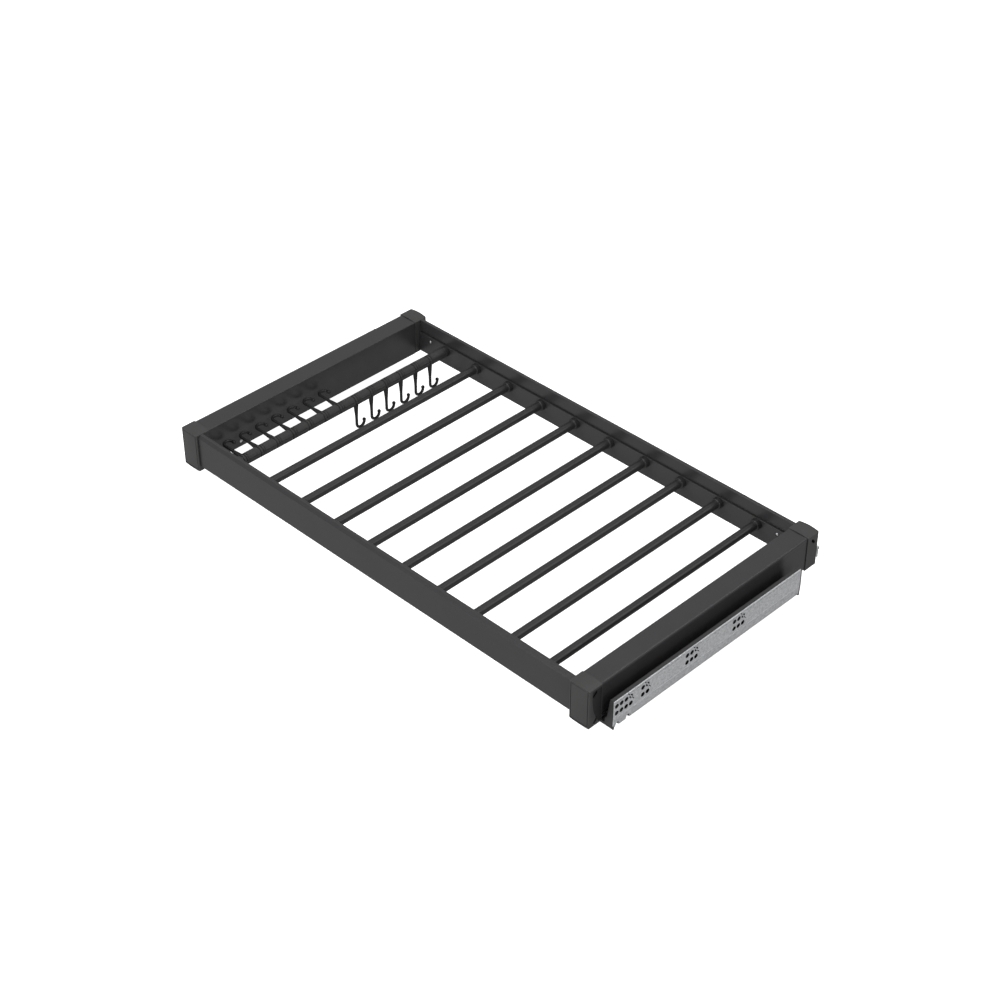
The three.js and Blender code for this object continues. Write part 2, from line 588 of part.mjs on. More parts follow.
function drawerMember(side) {
  const place = placement(side, "front");
  const outer = DRAWER_HALF_WIDTH;
  const inner = DRAWER_HALF_WIDTH - SHEET;
  const lip = inner - DRAWER_LIP;
  const channel = aboutRunner(side, [
    [-outer, DRAWER_TOP],
    [outer, DRAWER_TOP],
    [outer, DRAWER_FOOT],
    [lip, DRAWER_FOOT],
    [lip, DRAWER_LIP_TOP],
    [inner, DRAWER_LIP_TOP],
    [inner, DRAWER_TOP - SHEET],
    [-inner, DRAWER_TOP - SHEET],
    [-inner, DRAWER_LIP_TOP],
    [-lip, DRAWER_LIP_TOP],
    [-lip, DRAWER_FOOT],
    [-outer, DRAWER_FOOT],
  ]);
  const tab = aboutRunner(side, [
    [-outer, DRAWER_TOP - SHEET],
    [outer, DRAWER_TOP - SHEET],
    [outer, REAR_TAB_TOP],
    [-outer, REAR_TAB_TOP],
  ]);
  const post = aboutRunner(side, [
    [outer - REAR_LOOP_WIDTH, REAR_TAB_TOP - SHEET],
    [outer, REAR_TAB_TOP - SHEET],
    [outer, REAR_LOOP_HEIGHT],
    [outer - REAR_LOOP_WIDTH, REAR_LOOP_HEIGHT],
  ]);
  const loop = prism(
    "x",
    circle(REAR_LOOP_CENTRE, REAR_LOOP_HEIGHT, REAR_LOOP_RADIUS),
    place.x(-RUNNER_CENTRE - outer),
    place.x(-RUNNER_CENTRE - outer + REAR_LOOP_WIDTH),
  );
  const bore = prism(
    "x",
    circle(REAR_LOOP_CENTRE, REAR_LOOP_HEIGHT, REAR_LOOP_BORE),
    place.x(-RUNNER_CENTRE - outer - OVERRUN),
    place.x(-RUNNER_CENTRE - outer + REAR_LOOP_WIDTH + OVERRUN),
  );
  return prism("y", channel, DRAWER_START, REAR_TAB_FACE)
    .add(prism("y", tab, REAR_TAB_FACE - SHEET, REAR_TAB_FACE))
    .add(prism("y", post, REAR_TAB_FACE - SHEET, REAR_TAB_FACE))
    .add(loop)
    .subtract(bore);
}

function intermediateMember(side) {
  const edge = INTERMEDIATE_HALF;
  const wall = edge - SHEET;
  const low = LOWER_WALL_HALF;
  const foot = SHELF_TOP + RUNNER_PLAY;
  const section = aboutRunner(side, [
    [-edge, INTERMEDIATE_TOP + INTERMEDIATE_LIFT],
    [-wall, INTERMEDIATE_TOP + INTERMEDIATE_LIFT],
    [-wall, INTERMEDIATE_TOP],
    [wall, INTERMEDIATE_TOP],
    [wall, INTERMEDIATE_TOP + INTERMEDIATE_LIFT],
    [edge, INTERMEDIATE_TOP + INTERMEDIATE_LIFT],
    [edge, INTERMEDIATE_TOP - SHEET],
    [low, INTERMEDIATE_TOP - SHEET],
    [low, foot],
    [low - SHEET, foot],
    [low - SHEET, INTERMEDIATE_TOP - SHEET],
    [-low + SHEET, INTERMEDIATE_TOP - SHEET],
    [-low + SHEET, foot],
    [-low, foot],
    [-low, INTERMEDIATE_TOP - SHEET],
    [-edge, INTERMEDIATE_TOP - SHEET],
  ]);
  return prism("y", section, INTERMEDIATE_START, INTERMEDIATE_START + INTERMEDIATE_LENGTH);
}

/** A roller cage: a flat strip with one window for each row of rollers. */
function carriage(side, half, top, height) {
  const strip = aboutRunner(side, [[-half, top], [half, top], [half, top - height], [-half, top - height]]);
  let body = prism("y", strip, CARRIAGE_START, CARRIAGE_START + CARRIAGE_LENGTH);
  const pitch = CARRIAGE_LENGTH / CARRIAGE_SLOT_COUNT;
  const middle = side * (HALF_WIDTH + RUNNER_CENTRE);
  for (let k = 0; k < CARRIAGE_SLOT_COUNT; k += 1) {
    const start = CARRIAGE_START + pitch * k + pitch / 3;
    const window = rectangle(middle - half / 2, start, middle + half / 2, start + pitch / 3);
    body = body.subtract(prism("z", window, top - height - OVERRUN, top + OVERRUN));
  }
  return body;
}

/** Columns of the pierced web: the last upper hole of each group is a punched tab. */
function webGroups() {
  const last = [FIRST_GROUP_END, FIRST_GROUP_END + SYSTEM_PITCH];
  last.push(last[1] + 3 * SYSTEM_PITCH);
  last.push(last[2] + 3 * SYSTEM_PITCH);
  return [4, 2, 3, 3].map((columns, i) => ({ columns, last: WEB_START + last[i] }));
}

function cabinetMember(side) {
  const place = placement(side, "front");
  const outer = WEB_OUTER;
  const centre = RUNNER_CENTRE;
  const inner = outer - WEB_SHEET;
  const tucked = outer - WEB_TUCK;
  const guide = GUIDE_HALF + SHEET;
  const rise = DRAWER_FOOT - RUNNER_PLAY;
  const at = ([a, ...rest]) => [place.x(-a), ...rest];
  const web = rounded(
    [
      [outer, WEB_TOP],
      [outer, WEB_BEND],
      [tucked, SHELF_BOTTOM],
      [tucked - WEB_SHEET, SHELF_BOTTOM],
      [inner, WEB_BEND],
      [inner, WEB_TOP],
    ].map(at),
  );
  const shelf = rounded(
    [
      [tucked, SHELF_BOTTOM],
      [tucked, SHELF_TOP],
      [centre + guide, SHELF_TOP],
      [centre + guide, rise],
      [centre + GUIDE_HALF, rise],
      [centre + GUIDE_HALF, SHELF_TOP],
      [centre - GUIDE_HALF, SHELF_TOP],
      [centre - GUIDE_HALF, rise],
      [centre - guide, rise],
      [centre - guide, SHELF_BOTTOM],
    ].map(at),
  );
  const shelfStart = COVER_START + COVER_PLATE + CLEARANCE;
  const shelfEnd = COVER_START + COVER_LENGTH - COVER_PLATE - CLEARANCE;
  let member = prism("y", web, WEB_START, shelfEnd).add(prism("y", shelf, shelfStart, shelfEnd));
  const cut = (hole) => {
    member = member.subtract(prism("x", hole, place.x(-inner + CLEARANCE), place.x(-outer - OVERRUN)));
  };
  const radius = WEB_HOLE_DIAMETER / 2;
  for (const { columns, last } of webGroups()) {
    for (let k = 0; k < columns; k += 1) {
      const y = last - k * WEB_HOLE_PITCH;
      cut(circle(y, WEB_LOWER_ROW, radius));
      if (k > 0) cut(circle(y, WEB_UPPER_ROW, radius));
    }
    cut(slot(last, WEB_UPPER_ROW, TAB_SLOT_WIDTH, TAB_SLOT_LENGTH, -TAB_SLOT_SLANT));
  }
  for (const set of [FIRST_NOTCH_SET, SECOND_NOTCH_SET]) {
    const [low, high] = [WEB_START + set - NOTCH_WIDTH / 2, WEB_START + set + NOTCH_WIDTH / 2];
    const notch = rounded([
      [low - NOTCH_WIDTH / 4, SHELF_BOTTOM - OVERRUN],
      [high + NOTCH_WIDTH / 4, SHELF_BOTTOM - OVERRUN],
      [high, SHELF_BOTTOM + NOTCH_RISE],
      [low, SHELF_BOTTOM + NOTCH_RISE],
    ]);
    member = member.subtract(prism("x", notch, place.x(NOTCH_DEPTH - outer), place.x(-outer - OVERRUN)));
  }
  return member;
}

/** The dark moulded cover, open toward the web that it clips to. */
function runnerCover(side) {
  const place = placement(side, "front");
  const face = WEB_OUTER - WEB_SHEET - CLEARANCE;
  const foot = SHELF_TOP + CLEARANCE;
  const at = ([a, ...rest]) => [place.x(-a), ...rest];
  const skin = rounded(
    [
      [face, WEB_TOP],
      [COVER_TOP_SET, WEB_TOP],
      [COVER_FOOT_SET, COVER_KNEE],
      [COVER_FOOT_SET, foot],
      [COVER_FOOT_SET + COVER_WALL, foot],
      [COVER_FOOT_SET + COVER_WALL, COVER_KNEE],
      [COVER_TOP_SET + COVER_WALL, WEB_TOP - COVER_WALL],
      [face, WEB_TOP - COVER_WALL],
    ].map(at),
  );
  const plate = (edge) =>
    rounded(
      [
        [edge, WEB_TOP],
        [COVER_TOP_SET, WEB_TOP],
        [COVER_FOOT_SET, COVER_KNEE],
        [COVER_FOOT_SET, SHELF_BOTTOM],
        [edge - WEB_TUCK, SHELF_BOTTOM],
        [edge, WEB_BEND],
      ].map(at),
    );
  const end = COVER_START + COVER_LENGTH;
  return prism("y", skin, COVER_START, end)
    .add(prism("y", plate(face), COVER_START, COVER_START + COVER_PLATE))
    .add(prism("y", plate(WEB_OUTER), end - COVER_PLATE, end));
}

function buildFrame(group) {
  group.add(mesh("front_rail", endRail("front"), paint.frame));
  group.add(mesh("rear_rail", endRail("rear"), paint.frame));
  for (const [name, side] of [["left", -1], ["right", 1]]) {
    group.add(mesh(`${name}_rail`, sideRail(side), paint.frame));
    for (const end of ["front", "rear"]) {
      group.add(mesh(`${end}_${name}_cap`, cornerCap(side, end), paint.cap));
    }
  }
}

function buildBars(group) {
  const turned = bar();
  barPlaces().forEach((x, i) => {
    const piece = mesh(i === 0 ? "hook_bar" : `trouser_bar_${i}`, turned, paint.bar);
    piece.position.set(x, 0, BAR_HEIGHT);
    group.add(piece);
  });
}

function buildHooks(group) {
  const [x] = barPlaces();
  const hanging = hook();
  const room = RING_WIDTH / 2 + CLEARANCE;
  const pitch = (FRAME_DEPTH - HOOK_START - HOOK_END) / (HOOK_COUNT - 1);
  const ferruleEnd = BAR_END + FERRULE_LENGTH + CLEARANCE;
  let start = ferruleEnd;
  for (let i = 0; i < HOOK_COUNT; i += 1) {
    const y = HOOK_START + i * pitch;
    const piece = mesh(`hook_${i + 1}`, hanging, paint.hook);
    piece.position.set(x, y, BAR_HEIGHT);
    if (i < RAISED_HOOK_COUNT) piece.rotation.y = Math.PI / 2;
    group.add(piece);
    addSleeve(group, i + 1, x, start, y - room);
    start = y + room;
  }
  addSleeve(group, HOOK_COUNT + 1, x, start, FRAME_DEPTH - ferruleEnd);
}

function addSleeve(group, number, x, from, to) {
  const piece = mesh(`spacer_sleeve_${number}`, sleeve(from, to), paint.bar);
  piece.position.set(x, 0, BAR_HEIGHT);
  group.add(piece);
}

function buildRunners(group) {
  for (const [name, side] of [["left", -1], ["right", 1]]) {
    const upperHalf = INTERMEDIATE_HALF - SHEET - RUNNER_PLAY;
    const lowerHalf = LOWER_WALL_HALF - SHEET - RUNNER_PLAY;
    group.add(mesh(`${name}_cabinet_member`, cabinetMember(side), paint.steel));
    group.add(mesh(`${name}_runner_cover`, runnerCover(side), paint.cover));
    group.add(mesh(`${name}_intermediate_member`, intermediateMember(side), paint.steel));
    group.add(mesh(`${name}_drawer_member`, drawerMember(side), paint.steel));
    const upper = carriage(side, upperHalf, UPPER_CARRIAGE_TOP, UPPER_ROLLER);
    const lower = carriage(side, lowerHalf, LOWER_CARRIAGE_TOP, LOWER_ROLLER);
    group.add(mesh(`${name}_upper_carriage`, upper, paint.roller));
    group.add(mesh(`${name}_lower_carriage`, lower, paint.roller));
  }
}

const rack = new THREE.Group();
buildFrame(rack);
buildBars(rack);
buildHooks(rack);
buildRunners(rack);
rack.position.set(0, (CAP_BOW - REAR_MOST) / 2, -LOWEST);

const root = new THREE.Group();
root.add(rack);
export default root;
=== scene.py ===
"""Looks of a pull out trouser rack: a dark framed set of bars and swivel hooks on telescopic runners.

Shapes are drawn in millimetres in the rack's own drawing: x runs across from the middle, y back from
the front of the corner caps and z up from their top. Datum turns them into the frame, in metres.
"""
import json
import logging
import math
from dataclasses import dataclass
from enum import Enum
from typing import Sequence

import bmesh
import bpy
import numpy as np
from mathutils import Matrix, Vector


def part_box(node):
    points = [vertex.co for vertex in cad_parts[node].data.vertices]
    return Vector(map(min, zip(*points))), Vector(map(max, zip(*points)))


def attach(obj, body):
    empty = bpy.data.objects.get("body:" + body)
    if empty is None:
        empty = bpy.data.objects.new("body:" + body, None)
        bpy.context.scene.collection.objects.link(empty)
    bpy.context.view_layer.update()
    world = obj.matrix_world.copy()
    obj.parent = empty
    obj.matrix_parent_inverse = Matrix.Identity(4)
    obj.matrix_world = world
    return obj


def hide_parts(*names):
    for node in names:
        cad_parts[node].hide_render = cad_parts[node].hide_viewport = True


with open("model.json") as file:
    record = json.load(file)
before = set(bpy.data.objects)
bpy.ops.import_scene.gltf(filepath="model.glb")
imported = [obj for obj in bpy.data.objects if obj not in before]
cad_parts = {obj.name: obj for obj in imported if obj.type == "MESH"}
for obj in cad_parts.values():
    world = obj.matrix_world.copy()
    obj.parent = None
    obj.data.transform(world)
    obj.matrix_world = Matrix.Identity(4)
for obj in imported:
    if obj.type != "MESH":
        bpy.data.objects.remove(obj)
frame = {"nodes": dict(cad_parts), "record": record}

logging.basicConfig(level=logging.INFO, format="%(name)s: %(message)s")
LOG = logging.getLogger("trouser_rack")

Array = np.ndarray
Corners = Sequence[Sequence[float]]
Solid = tuple[Array, list]

MM = 0.001
SHARP_ANGLE = math.radians(38)


class Side(Enum):
    """The rack's two sides, as the sign of their x."""

    LEFT = -1
    RIGHT = 1


class End(Enum):
    """The rack's two ends, front and rear."""

    FRONT = "front"
    REAR = "rear"


class Grain(Enum):
    """How the fine surface of a finish is made."""

    POWDER = "powder coat"
    MOULDED = "moulded plastic"
    ROLLED = "rolled and zinc plated sheet"
    SATIN = "satin metal"


@dataclass(frozen=True)
class Drawing:
    """The sizes that several pieces share, in millimetres."""

    half_width: float = 411.8
    depth: float = 466.8
    cap_width: float = 34.2
    cap_depth: float = 24.0
    play: float = 0.3
    rail_setback: float = 3.2
    rail_top: float = -0.6
    rail_bottom: float = -54.7
    rail_face: float = 15.3
    bar_height: float = -29.8
    bar_diameter: float = 13.3
    bar_pitch: float = 634.2 / 9
    bar_count: int = 10
    ferrule_diameter: float = 17.6
    ferrule_length: float = 7.6
    runner_centre: float = -13.5
    drawer_half: float = 8.5
    drawer_top: float = -55.0
    shelf_top: float = -66.0
    shelf_bottom: float = -67.4

    @property
    def bar_end(self) -> float:
        """Where a bar's ferrule starts, in from the front."""
        return self.rail_face + self.play

    def bar_places(self) -> Array:
        """Centre of each bar, evenly spaced about the middle."""
        return (np.arange(self.bar_count) - (self.bar_count - 1) / 2) * self.bar_pitch

    def across(self, side: Side, inward: float) -> float:
        """The x of a place measured in from the cap's outer side."""
        return side.value * (self.half_width - inward)

    def along(self, end: End, inward: float) -> float:
        """The y of a place measured in from one end."""
        return inward if end is End.FRONT else self.depth - inward


SIZES = Drawing()


class Datum:
    """Places the drawing in the frame by the front rail's solid, which it has to meet."""

    def __init__(self) -> None:
        """Reads the front rail's box: its face and its top fix the drawing's zero."""
        low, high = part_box("front_rail")
        self.shift = np.array(
            [0.0, low.y / MM - SIZES.rail_setback, high.z / MM - SIZES.rail_top]
        )

    def place(self, points: Array) -> Array:
        """Millimetres of the drawing to metres of the frame."""
        return (np.asarray(points, float) + self.shift) * MM


DATUM = Datum()
BODY_OF = {
    node: body
    for body, nodes in frame["record"]["behaviour"]["bodies"].items()
    for node in nodes
}


# Outlines and solids. A cutter runs a few millimetres past the faces that it cuts.


def unit(vectors: Array) -> Array:
    """Each vector divided by its own length."""
    return vectors / np.linalg.norm(vectors, axis=-1, keepdims=True)


def rounded(corners: Corners, steps: int = 5, edge: float = 0.25, ease: float = 0.4) -> Array:
    """Rounds a closed outline.

    An arc of the corner's radius r touches both sides at r / tan(h), h being half the corner's angle,
    and turns about a point r / sin(h) along the bisector. One more point past each end of the arc
    keeps the flat side's shading flat.

    Args:
        corners: (a, b) or (a, b, radius) of each corner, in order.
        steps: pieces of each arc.
        edge: the radius of a corner that gives none.
        ease: how far past an arc the extra point lies, at most three tenths of the flat side.

    Returns:
        The outline's points, one row each.
    """
    table = np.array([(*c, edge)[:3] for c in corners], float)
    here, radius = table[:, :2], table[:, 2]
    to_last, to_next = np.roll(here, 1, 0) - here, np.roll(here, -1, 0) - here
    before, after = unit(to_last), unit(to_next)
    half = np.arccos(np.clip((before * after).sum(1), -1, 1)) / 2
    reach = radius / np.tan(half)
    spare = np.linalg.norm(to_next, axis=1) - reach - np.roll(reach, -1)
    tail = np.minimum(ease, 0.3 * spare)
    lead = np.roll(tail, 1)
    centre = here + unit(before + after) * (radius / np.sin(half))[:, None]
    first = here + before * reach[:, None] - centre
    sense = np.sign(after[:, 0] * before[:, 1] - after[:, 1] * before[:, 0])
    angle = ((np.pi - 2 * half) * sense)[:, None] * np.linspace(0, 1, steps + 1)
    cos, sin = np.cos(angle), np.sin(angle)
    arc = np.stack(
        [
            centre[:, :1] + first[:, :1] * cos - first[:, 1:] * sin,
            centre[:, 1:] + first[:, :1] * sin + first[:, 1:] * cos,
        ],
        -1,
    )
    head = (here + before * (reach + lead)[:, None])[:, None]
    foot = (here + after * (reach + tail)[:, None])[:, None]
    return np.concatenate([head, arc, foot], 1).reshape(-1, 2)


def disc(a: float, b: float, radius: float, sides: int = 32) -> Array:
    """A circle about (a, b)."""
    angle = np.arange(sides) * 2 * np.pi / sides
    return np.stack([a + radius * np.cos(angle), b + radius * np.sin(angle)], -1)


def slotted(
    a: float, b: float, width: float, length: float, slant: float, sides: int = 16
) -> Array:
    """A long hole about (a, b) with round ends, leaning by its slant over its length."""
    reach = np.array([slant, length - width]) / 2
    lean = math.atan2(reach[1], reach[0]) - math.pi / 2
    angle = lean + np.linspace(0, np.pi, sides)
    top = np.stack([np.cos(angle), np.sin(angle)], -1) * width / 2 + reach
    return np.concatenate([top, -top]) + np.array([a, b])


def anticlockwise(outline: Array) -> Array:
    """The outline in the order that runs anticlockwise."""
    a, b = outline.T
    area = (a * np.roll(b, -1) - b * np.roll(a, -1)).sum()
    return outline if area > 0 else outline[::-1]


def skinned(rings: Array) -> Solid:
    """Joins rings of points in order and closes the first and the last one.

    Args:
        rings: points as (ring, point, 3).

    Returns:
        The points and the faces of a closed solid.
    """
    count, sides, _ = rings.shape
    i, k = np.meshgrid(np.arange(count - 1), np.arange(sides), indexing="ij")
    near, far = i * sides + k, i * sides + (k + 1) % sides
    faces = np.stack([near, far, far + sides, near + sides], -1).reshape(-1, 4).tolist()
    last = (count - 1) * sides
    faces.append(list(range(sides))[::-1])
    faces.append(list(range(last, last + sides)))
    return rings.reshape(-1, 3), faces


def ringed(rings: Array) -> Solid:
    """Joins rings of points in order and the last one to the first, as a band that closes on itself."""
    count, sides, _ = rings.shape
    i, k = np.meshgrid(np.arange(count), np.arange(sides), indexing="ij")
    after, beside = (i + 1) % count, (k + 1) % sides
    corners = [i * sides + k, i * sides + beside, after * sides + beside, after * sides + k]
    return rings.reshape(-1, 3), np.stack(corners, -1).reshape(-1, 4).tolist()


def extruded(outline: Array, axis: str, start: float, end: float, soft: float = 0.2) -> Solid:
    """Carries an outline along an axis, its two ends rounded over.

    At a distance r (1 - cos t) from an end the outline is drawn in by r (1 - sin t) along its mitres.
    One more ring at 2.2 r from each end keeps the flat sides' shading flat.

    Args:
        outline: closed outline in the two other axes, (x, z) along y and (y, z) along x.
        axis: "x", "y" or "z".
        start: where it starts on the axis.
        end: where it ends.
        soft: radius r of the rounded ends.

    Returns:
        The closed solid.
    """
    start, end = min(start, end), max(start, end)
    outline = anticlockwise(outline)
    edges = unit(np.roll(outline, -1, 0) - outline + 1e-12)
    normal = np.stack([edges[:, 1], -edges[:, 0]], -1)
    behind = np.roll(normal, 1, 0)
    mitre = (normal + behind) / (1 + (normal * behind).sum(1, keepdims=True)).clip(0.3)
    t = np.linspace(0, np.pi / 2, 4) if soft else np.array([np.pi / 2])
    inset, run = soft * (1 - np.sin(t)), soft * (1 - np.cos(t))
    if soft:
        inset, run = np.append(inset, 0), np.append(run, 2.2 * soft)
    inset = np.concatenate([inset, inset[::-1]])
    place = np.concatenate([start + run, (end - run)[::-1]])
    rings = outline[None] - inset[:, None, None] * mitre[None]
    level = np.broadcast_to(place[:, None], rings.shape[:2])
    a, b = rings[..., 0], rings[..., 1]
    order = {"x": (level, a, b), "y": (a, level, b), "z": (a, b, level)}[axis]
    return skinned(np.stack(order, -1))


def turned(profile: Array, centre: Sequence[float], sides: int = 48, axis: str = "y") -> Solid:
    """Turns a profile about an axis along y or x.

    Args:
        profile: rows of (radius, place on the axis).
        centre: where the axis lies in the two other directions, in their order.
        sides: points round the axis.
        axis: "y" or "x".

    Returns:
        The closed solid.
    """
    angle = np.arange(sides) * 2 * np.pi / sides
    radius, level = np.asarray(profile, float).T
    a = centre[0] + radius[:, None] * np.cos(angle)
    b = centre[1] + radius[:, None] * np.sin(angle)
    level = np.broadcast_to(level[:, None], a.shape)
    return skinned(np.stack((level, a, b) if axis == "x" else (a, level, b), -1))


def mesh_of(name: str, solids: Sequence[Solid]) -> bpy.types.Object:
    """Makes one object of solids, in the frame's metres, with its faces outwards."""
    points, faces, start = [], [], 0
    for body, polygons in solids:
        points.append(body)
        faces += [[start + i for i in polygon] for polygon in polygons]
        start += len(body)
    mesh = bpy.data.meshes.new(name)
    mesh.from_pydata(DATUM.place(np.concatenate(points)).tolist(), [], faces)
    work = bmesh.new()
    work.from_mesh(mesh)
    bmesh.ops.remove_doubles(work, verts=work.verts, dist=1e-7)
    bmesh.ops.dissolve_degenerate(work, edges=work.edges, dist=1e-7)
    bmesh.ops.recalc_face_normals(work, faces=work.faces)
    work.to_mesh(mesh)
    work.free()
    obj = bpy.data.objects.new(name, mesh)
    bpy.context.scene.collection.objects.link(obj)
    return obj


def baked(obj: bpy.types.Object) -> bpy.types.Object:
    """Applies an object's modifiers, so that its own mesh is the finished one."""
    bpy.context.view_layer.update()
    graph = bpy.context.evaluated_depsgraph_get()
    mesh = bpy.data.meshes.new_from_object(obj.evaluated_get(graph))
    obj.modifiers.clear()
    obj.data = mesh
    return obj


def carved(
    obj: bpy.types.Object, solids: Sequence[Solid], how: str = "DIFFERENCE"
) -> bpy.types.Object:
    """Cuts solids out of an object, joins them to it, or keeps what they share.

    Args:
        obj: the object to change.
        solids: what to cut or join, which don't overlap one another.
        how: DIFFERENCE, UNION or INTERSECT.

    Returns:
        The same object.
    """
    tool = mesh_of(obj.name + "_tool", solids)
    step = obj.modifiers.new("carve", "BOOLEAN")
    step.object, step.operation, step.solver = tool, how, "EXACT"
    baked(obj)
    bpy.data.objects.remove(tool)
    return obj


def softened(obj: bpy.types.Object, width: float, segments: int = 3) -> bpy.types.Object:
    """Rounds an object's sharp edges by a width in millimetres and keeps flat sides flat."""
    bevel = obj.modifiers.new("soft_edges", "BEVEL")
    bevel.width, bevel.segments = width * MM, segments
    bevel.limit_method, bevel.angle_limit = "ANGLE", SHARP_ANGLE
    bevel.use_clamp_overlap = True
    bevel.harden_normals = True
    obj.data.shade_smooth()
    return baked(obj)


def shaded(obj: bpy.types.Object) -> bpy.types.Object:
    """Shades an object smooth but for its sharp edges, with its large faces kept flat."""
    obj.data.shade_smooth()
    obj.data.set_sharp_from_angle(angle=SHARP_ANGLE)
    weighted = obj.modifiers.new("flat_faces", "WEIGHTED_NORMAL")
    weighted.keep_sharp = True
    return baked(obj)


def dressed(
    obj: bpy.types.Object, node: str, material: bpy.types.Material
) -> bpy.types.Object:
    """Lets a finished piece stand for a node.

    Args:
        obj: the piece.
        node: the CAD node that it stands for.
        material: its finish.

    Returns:
        The same object.
    """
    obj.data.materials.clear()
    obj.data.materials.append(material)
    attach(obj, BODY_OF[node])
    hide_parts(node)
    LOG.info("%s: %d faces", obj.name, len(obj.data.polygons))
    return obj


# Finishes

NOISE_RANGE = (0.3, 0.7)
CLOUD_DETAIL, GRAIN_DETAIL = 3.0, 2.0
ROLLED_STRETCH = 0.6
GLOSS_SWING = 0.05
RELIEF_HEIGHT = 0.0004


@dataclass(frozen=True)
class Finish:
    """A surface finish, with its fine grain worked out from the object's own coordinates.

    The colour drifts with a slow noise, and a fast one gives the roughness and the bump. Both are
    read between the ends of NOISE_RANGE. Rolled sheet stretches both along y, as its rolling lines
    run.
    """

    name: str
    colour: tuple[float, float, float]
    roughness: float
    metallic: float = 0.0
    grain: Grain = Grain.POWDER
    drift: float = 0.08
    grain_size: float = 0.6
    bump: float = 0.06
    specular: float = 0.5
    cloud_size: float = 45.0

    def material(self) -> bpy.types.Material:
        """Builds the finish once and gives it again after that."""
        made = bpy.data.materials.get(self.name)
        if made:
            return made
        made = bpy.data.materials.new(self.name)
        made.use_nodes = True
        tree = made.node_tree
        shader = tree.nodes["Principled BSDF"]
        shader.inputs["Metallic"].default_value = self.metallic
        shader.inputs["Specular IOR Level"].default_value = self.specular
        place = tree.nodes.new("ShaderNodeTexCoord")
        stretch = tree.nodes.new("ShaderNodeMapping")
        along = ROLLED_STRETCH if self.grain is Grain.ROLLED else 1.0
        stretch.inputs["Scale"].default_value = (1.0, along, 1.0)
        tree.links.new(place.outputs["Object"], stretch.inputs["Vector"])
        slow = self._noise(tree, stretch, 1 / (self.cloud_size * MM), CLOUD_DETAIL)
        fast = self._noise(tree, stretch, 1 / (self.grain_size * MM), GRAIN_DETAIL)
        dark, light = ([c * (1 + way * self.drift) for c in self.colour] for way in (-1, 1))
        tree.links.new(self._between(tree, slow, dark, light), shader.inputs["Base Color"])
        gloss = ranged(
            tree,
            fast.outputs["Fac"],
            NOISE_RANGE,
            (self.roughness - GLOSS_SWING, self.roughness + GLOSS_SWING),
        )
        tree.links.new(gloss, shader.inputs["Roughness"])
        relief = tree.nodes.new("ShaderNodeBump")
        relief.inputs["Strength"].default_value = self.bump
        relief.inputs["Distance"].default_value = RELIEF_HEIGHT
        tree.links.new(fast.outputs["Fac"], relief.inputs["Height"])
        tree.links.new(relief.outputs["Normal"], shader.inputs["Normal"])
        return made

    @staticmethod
    def _noise(
        tree: bpy.types.NodeTree, place: bpy.types.Node, scale: float, detail: float
    ) -> bpy.types.Node:
        """A noise of that scale over the placed coordinates."""
        noise = tree.nodes.new("ShaderNodeTexNoise")
        noise.inputs["Scale"].default_value = scale
        noise.inputs["Detail"].default_value = detail
        tree.links.new(place.outputs["Vector"], noise.inputs["Vector"])
        return noise

    @staticmethod
    def _between(
        tree: bpy.types.NodeTree, noise: bpy.types.Node, low: Sequence[float], high: Sequence[float]
    ) -> bpy.types.NodeSocket:
        """A colour that runs from one to another with a noise."""
        ramp = tree.nodes.new("ShaderNodeValToRGB")
        first, last = ramp.color_ramp.elements
        first.position, last.position = NOISE_RANGE
        first.color, last.color = (*low, 1.0), (*high, 1.0)
        tree.links.new(noise.outputs["Fac"], ramp.inputs["Fac"])
        return ramp.outputs["Color"]


def ranged(
    tree: bpy.types.NodeTree,
    value: bpy.types.NodeSocket,
    source: tuple[float, float],
    target: tuple[float, float],
) -> bpy.types.NodeSocket:
    """A value carried from one range to another and held at its ends."""
    node = tree.nodes.new("ShaderNodeMapRange")
    node.inputs["From Min"].default_value, node.inputs["From Max"].default_value = source
    node.inputs["To Min"].default_value, node.inputs["To Max"].default_value = target
    tree.links.new(value, node.inputs["Value"])
    return node.outputs["Result"]


FRAME_COAT = Finish(
    "frame_powder_coat", (0.034, 0.033, 0.035), 0.34, drift=0.05, grain_size=0.5, bump=0.05
)
CAP_PLASTIC = Finish(
    "cap_moulding", (0.042, 0.042, 0.041), 0.42, 0.0, Grain.MOULDED, 0.06, 0.35, bump=0.08
)
# The sunk field's finish: a rougher moulded grain, with a darker colour that is painted shade.
CAP_FIELD_GRAIN_AND_SHADE = Finish(
    "cap_sunk_field", (0.018, 0.018, 0.019), 0.6, 0.0, Grain.MOULDED, 0.08, 0.3, 0.14, specular=0.35
)
BAR_COAT = Finish(
    "bar_powder_coat", (0.02, 0.0195, 0.02), 0.36, drift=0.06, grain_size=0.5, bump=0.06
)
GRIP_RUBBER = Finish(
    "grip_sleeve", (0.026, 0.025, 0.025), 0.46, 0.0, Grain.MOULDED, 0.08, 0.3, bump=0.1
)
HOOK_PLASTIC = Finish(
    "hook_moulding", (0.011, 0.011, 0.012), 0.4, 0.0, Grain.MOULDED, 0.08, 0.3, 0.05, specular=0.35
)
COVER_PLASTIC = Finish(
    "cover_moulding", (0.031, 0.031, 0.032), 0.5, 0.0, Grain.MOULDED, 0.06, 0.4, bump=0.08
)
ZINC = Finish(
    "zinc_plated_sheet", (0.7, 0.71, 0.73), 0.42, 0.75, Grain.ROLLED, 0.22, 0.35, 0.04, cloud_size=2.0
)
SCREW_STEEL = Finish(
    "bright_screw_steel", (0.8, 0.8, 0.82), 0.28, 0.9, Grain.SATIN, 0.05, 0.25, bump=0.03
)
CAGE = Finish(
    "roller_cage", (0.55, 0.55, 0.53), 0.45, 0.0, Grain.MOULDED, 0.05, 0.4, bump=0.04
)


# Rails and corner caps


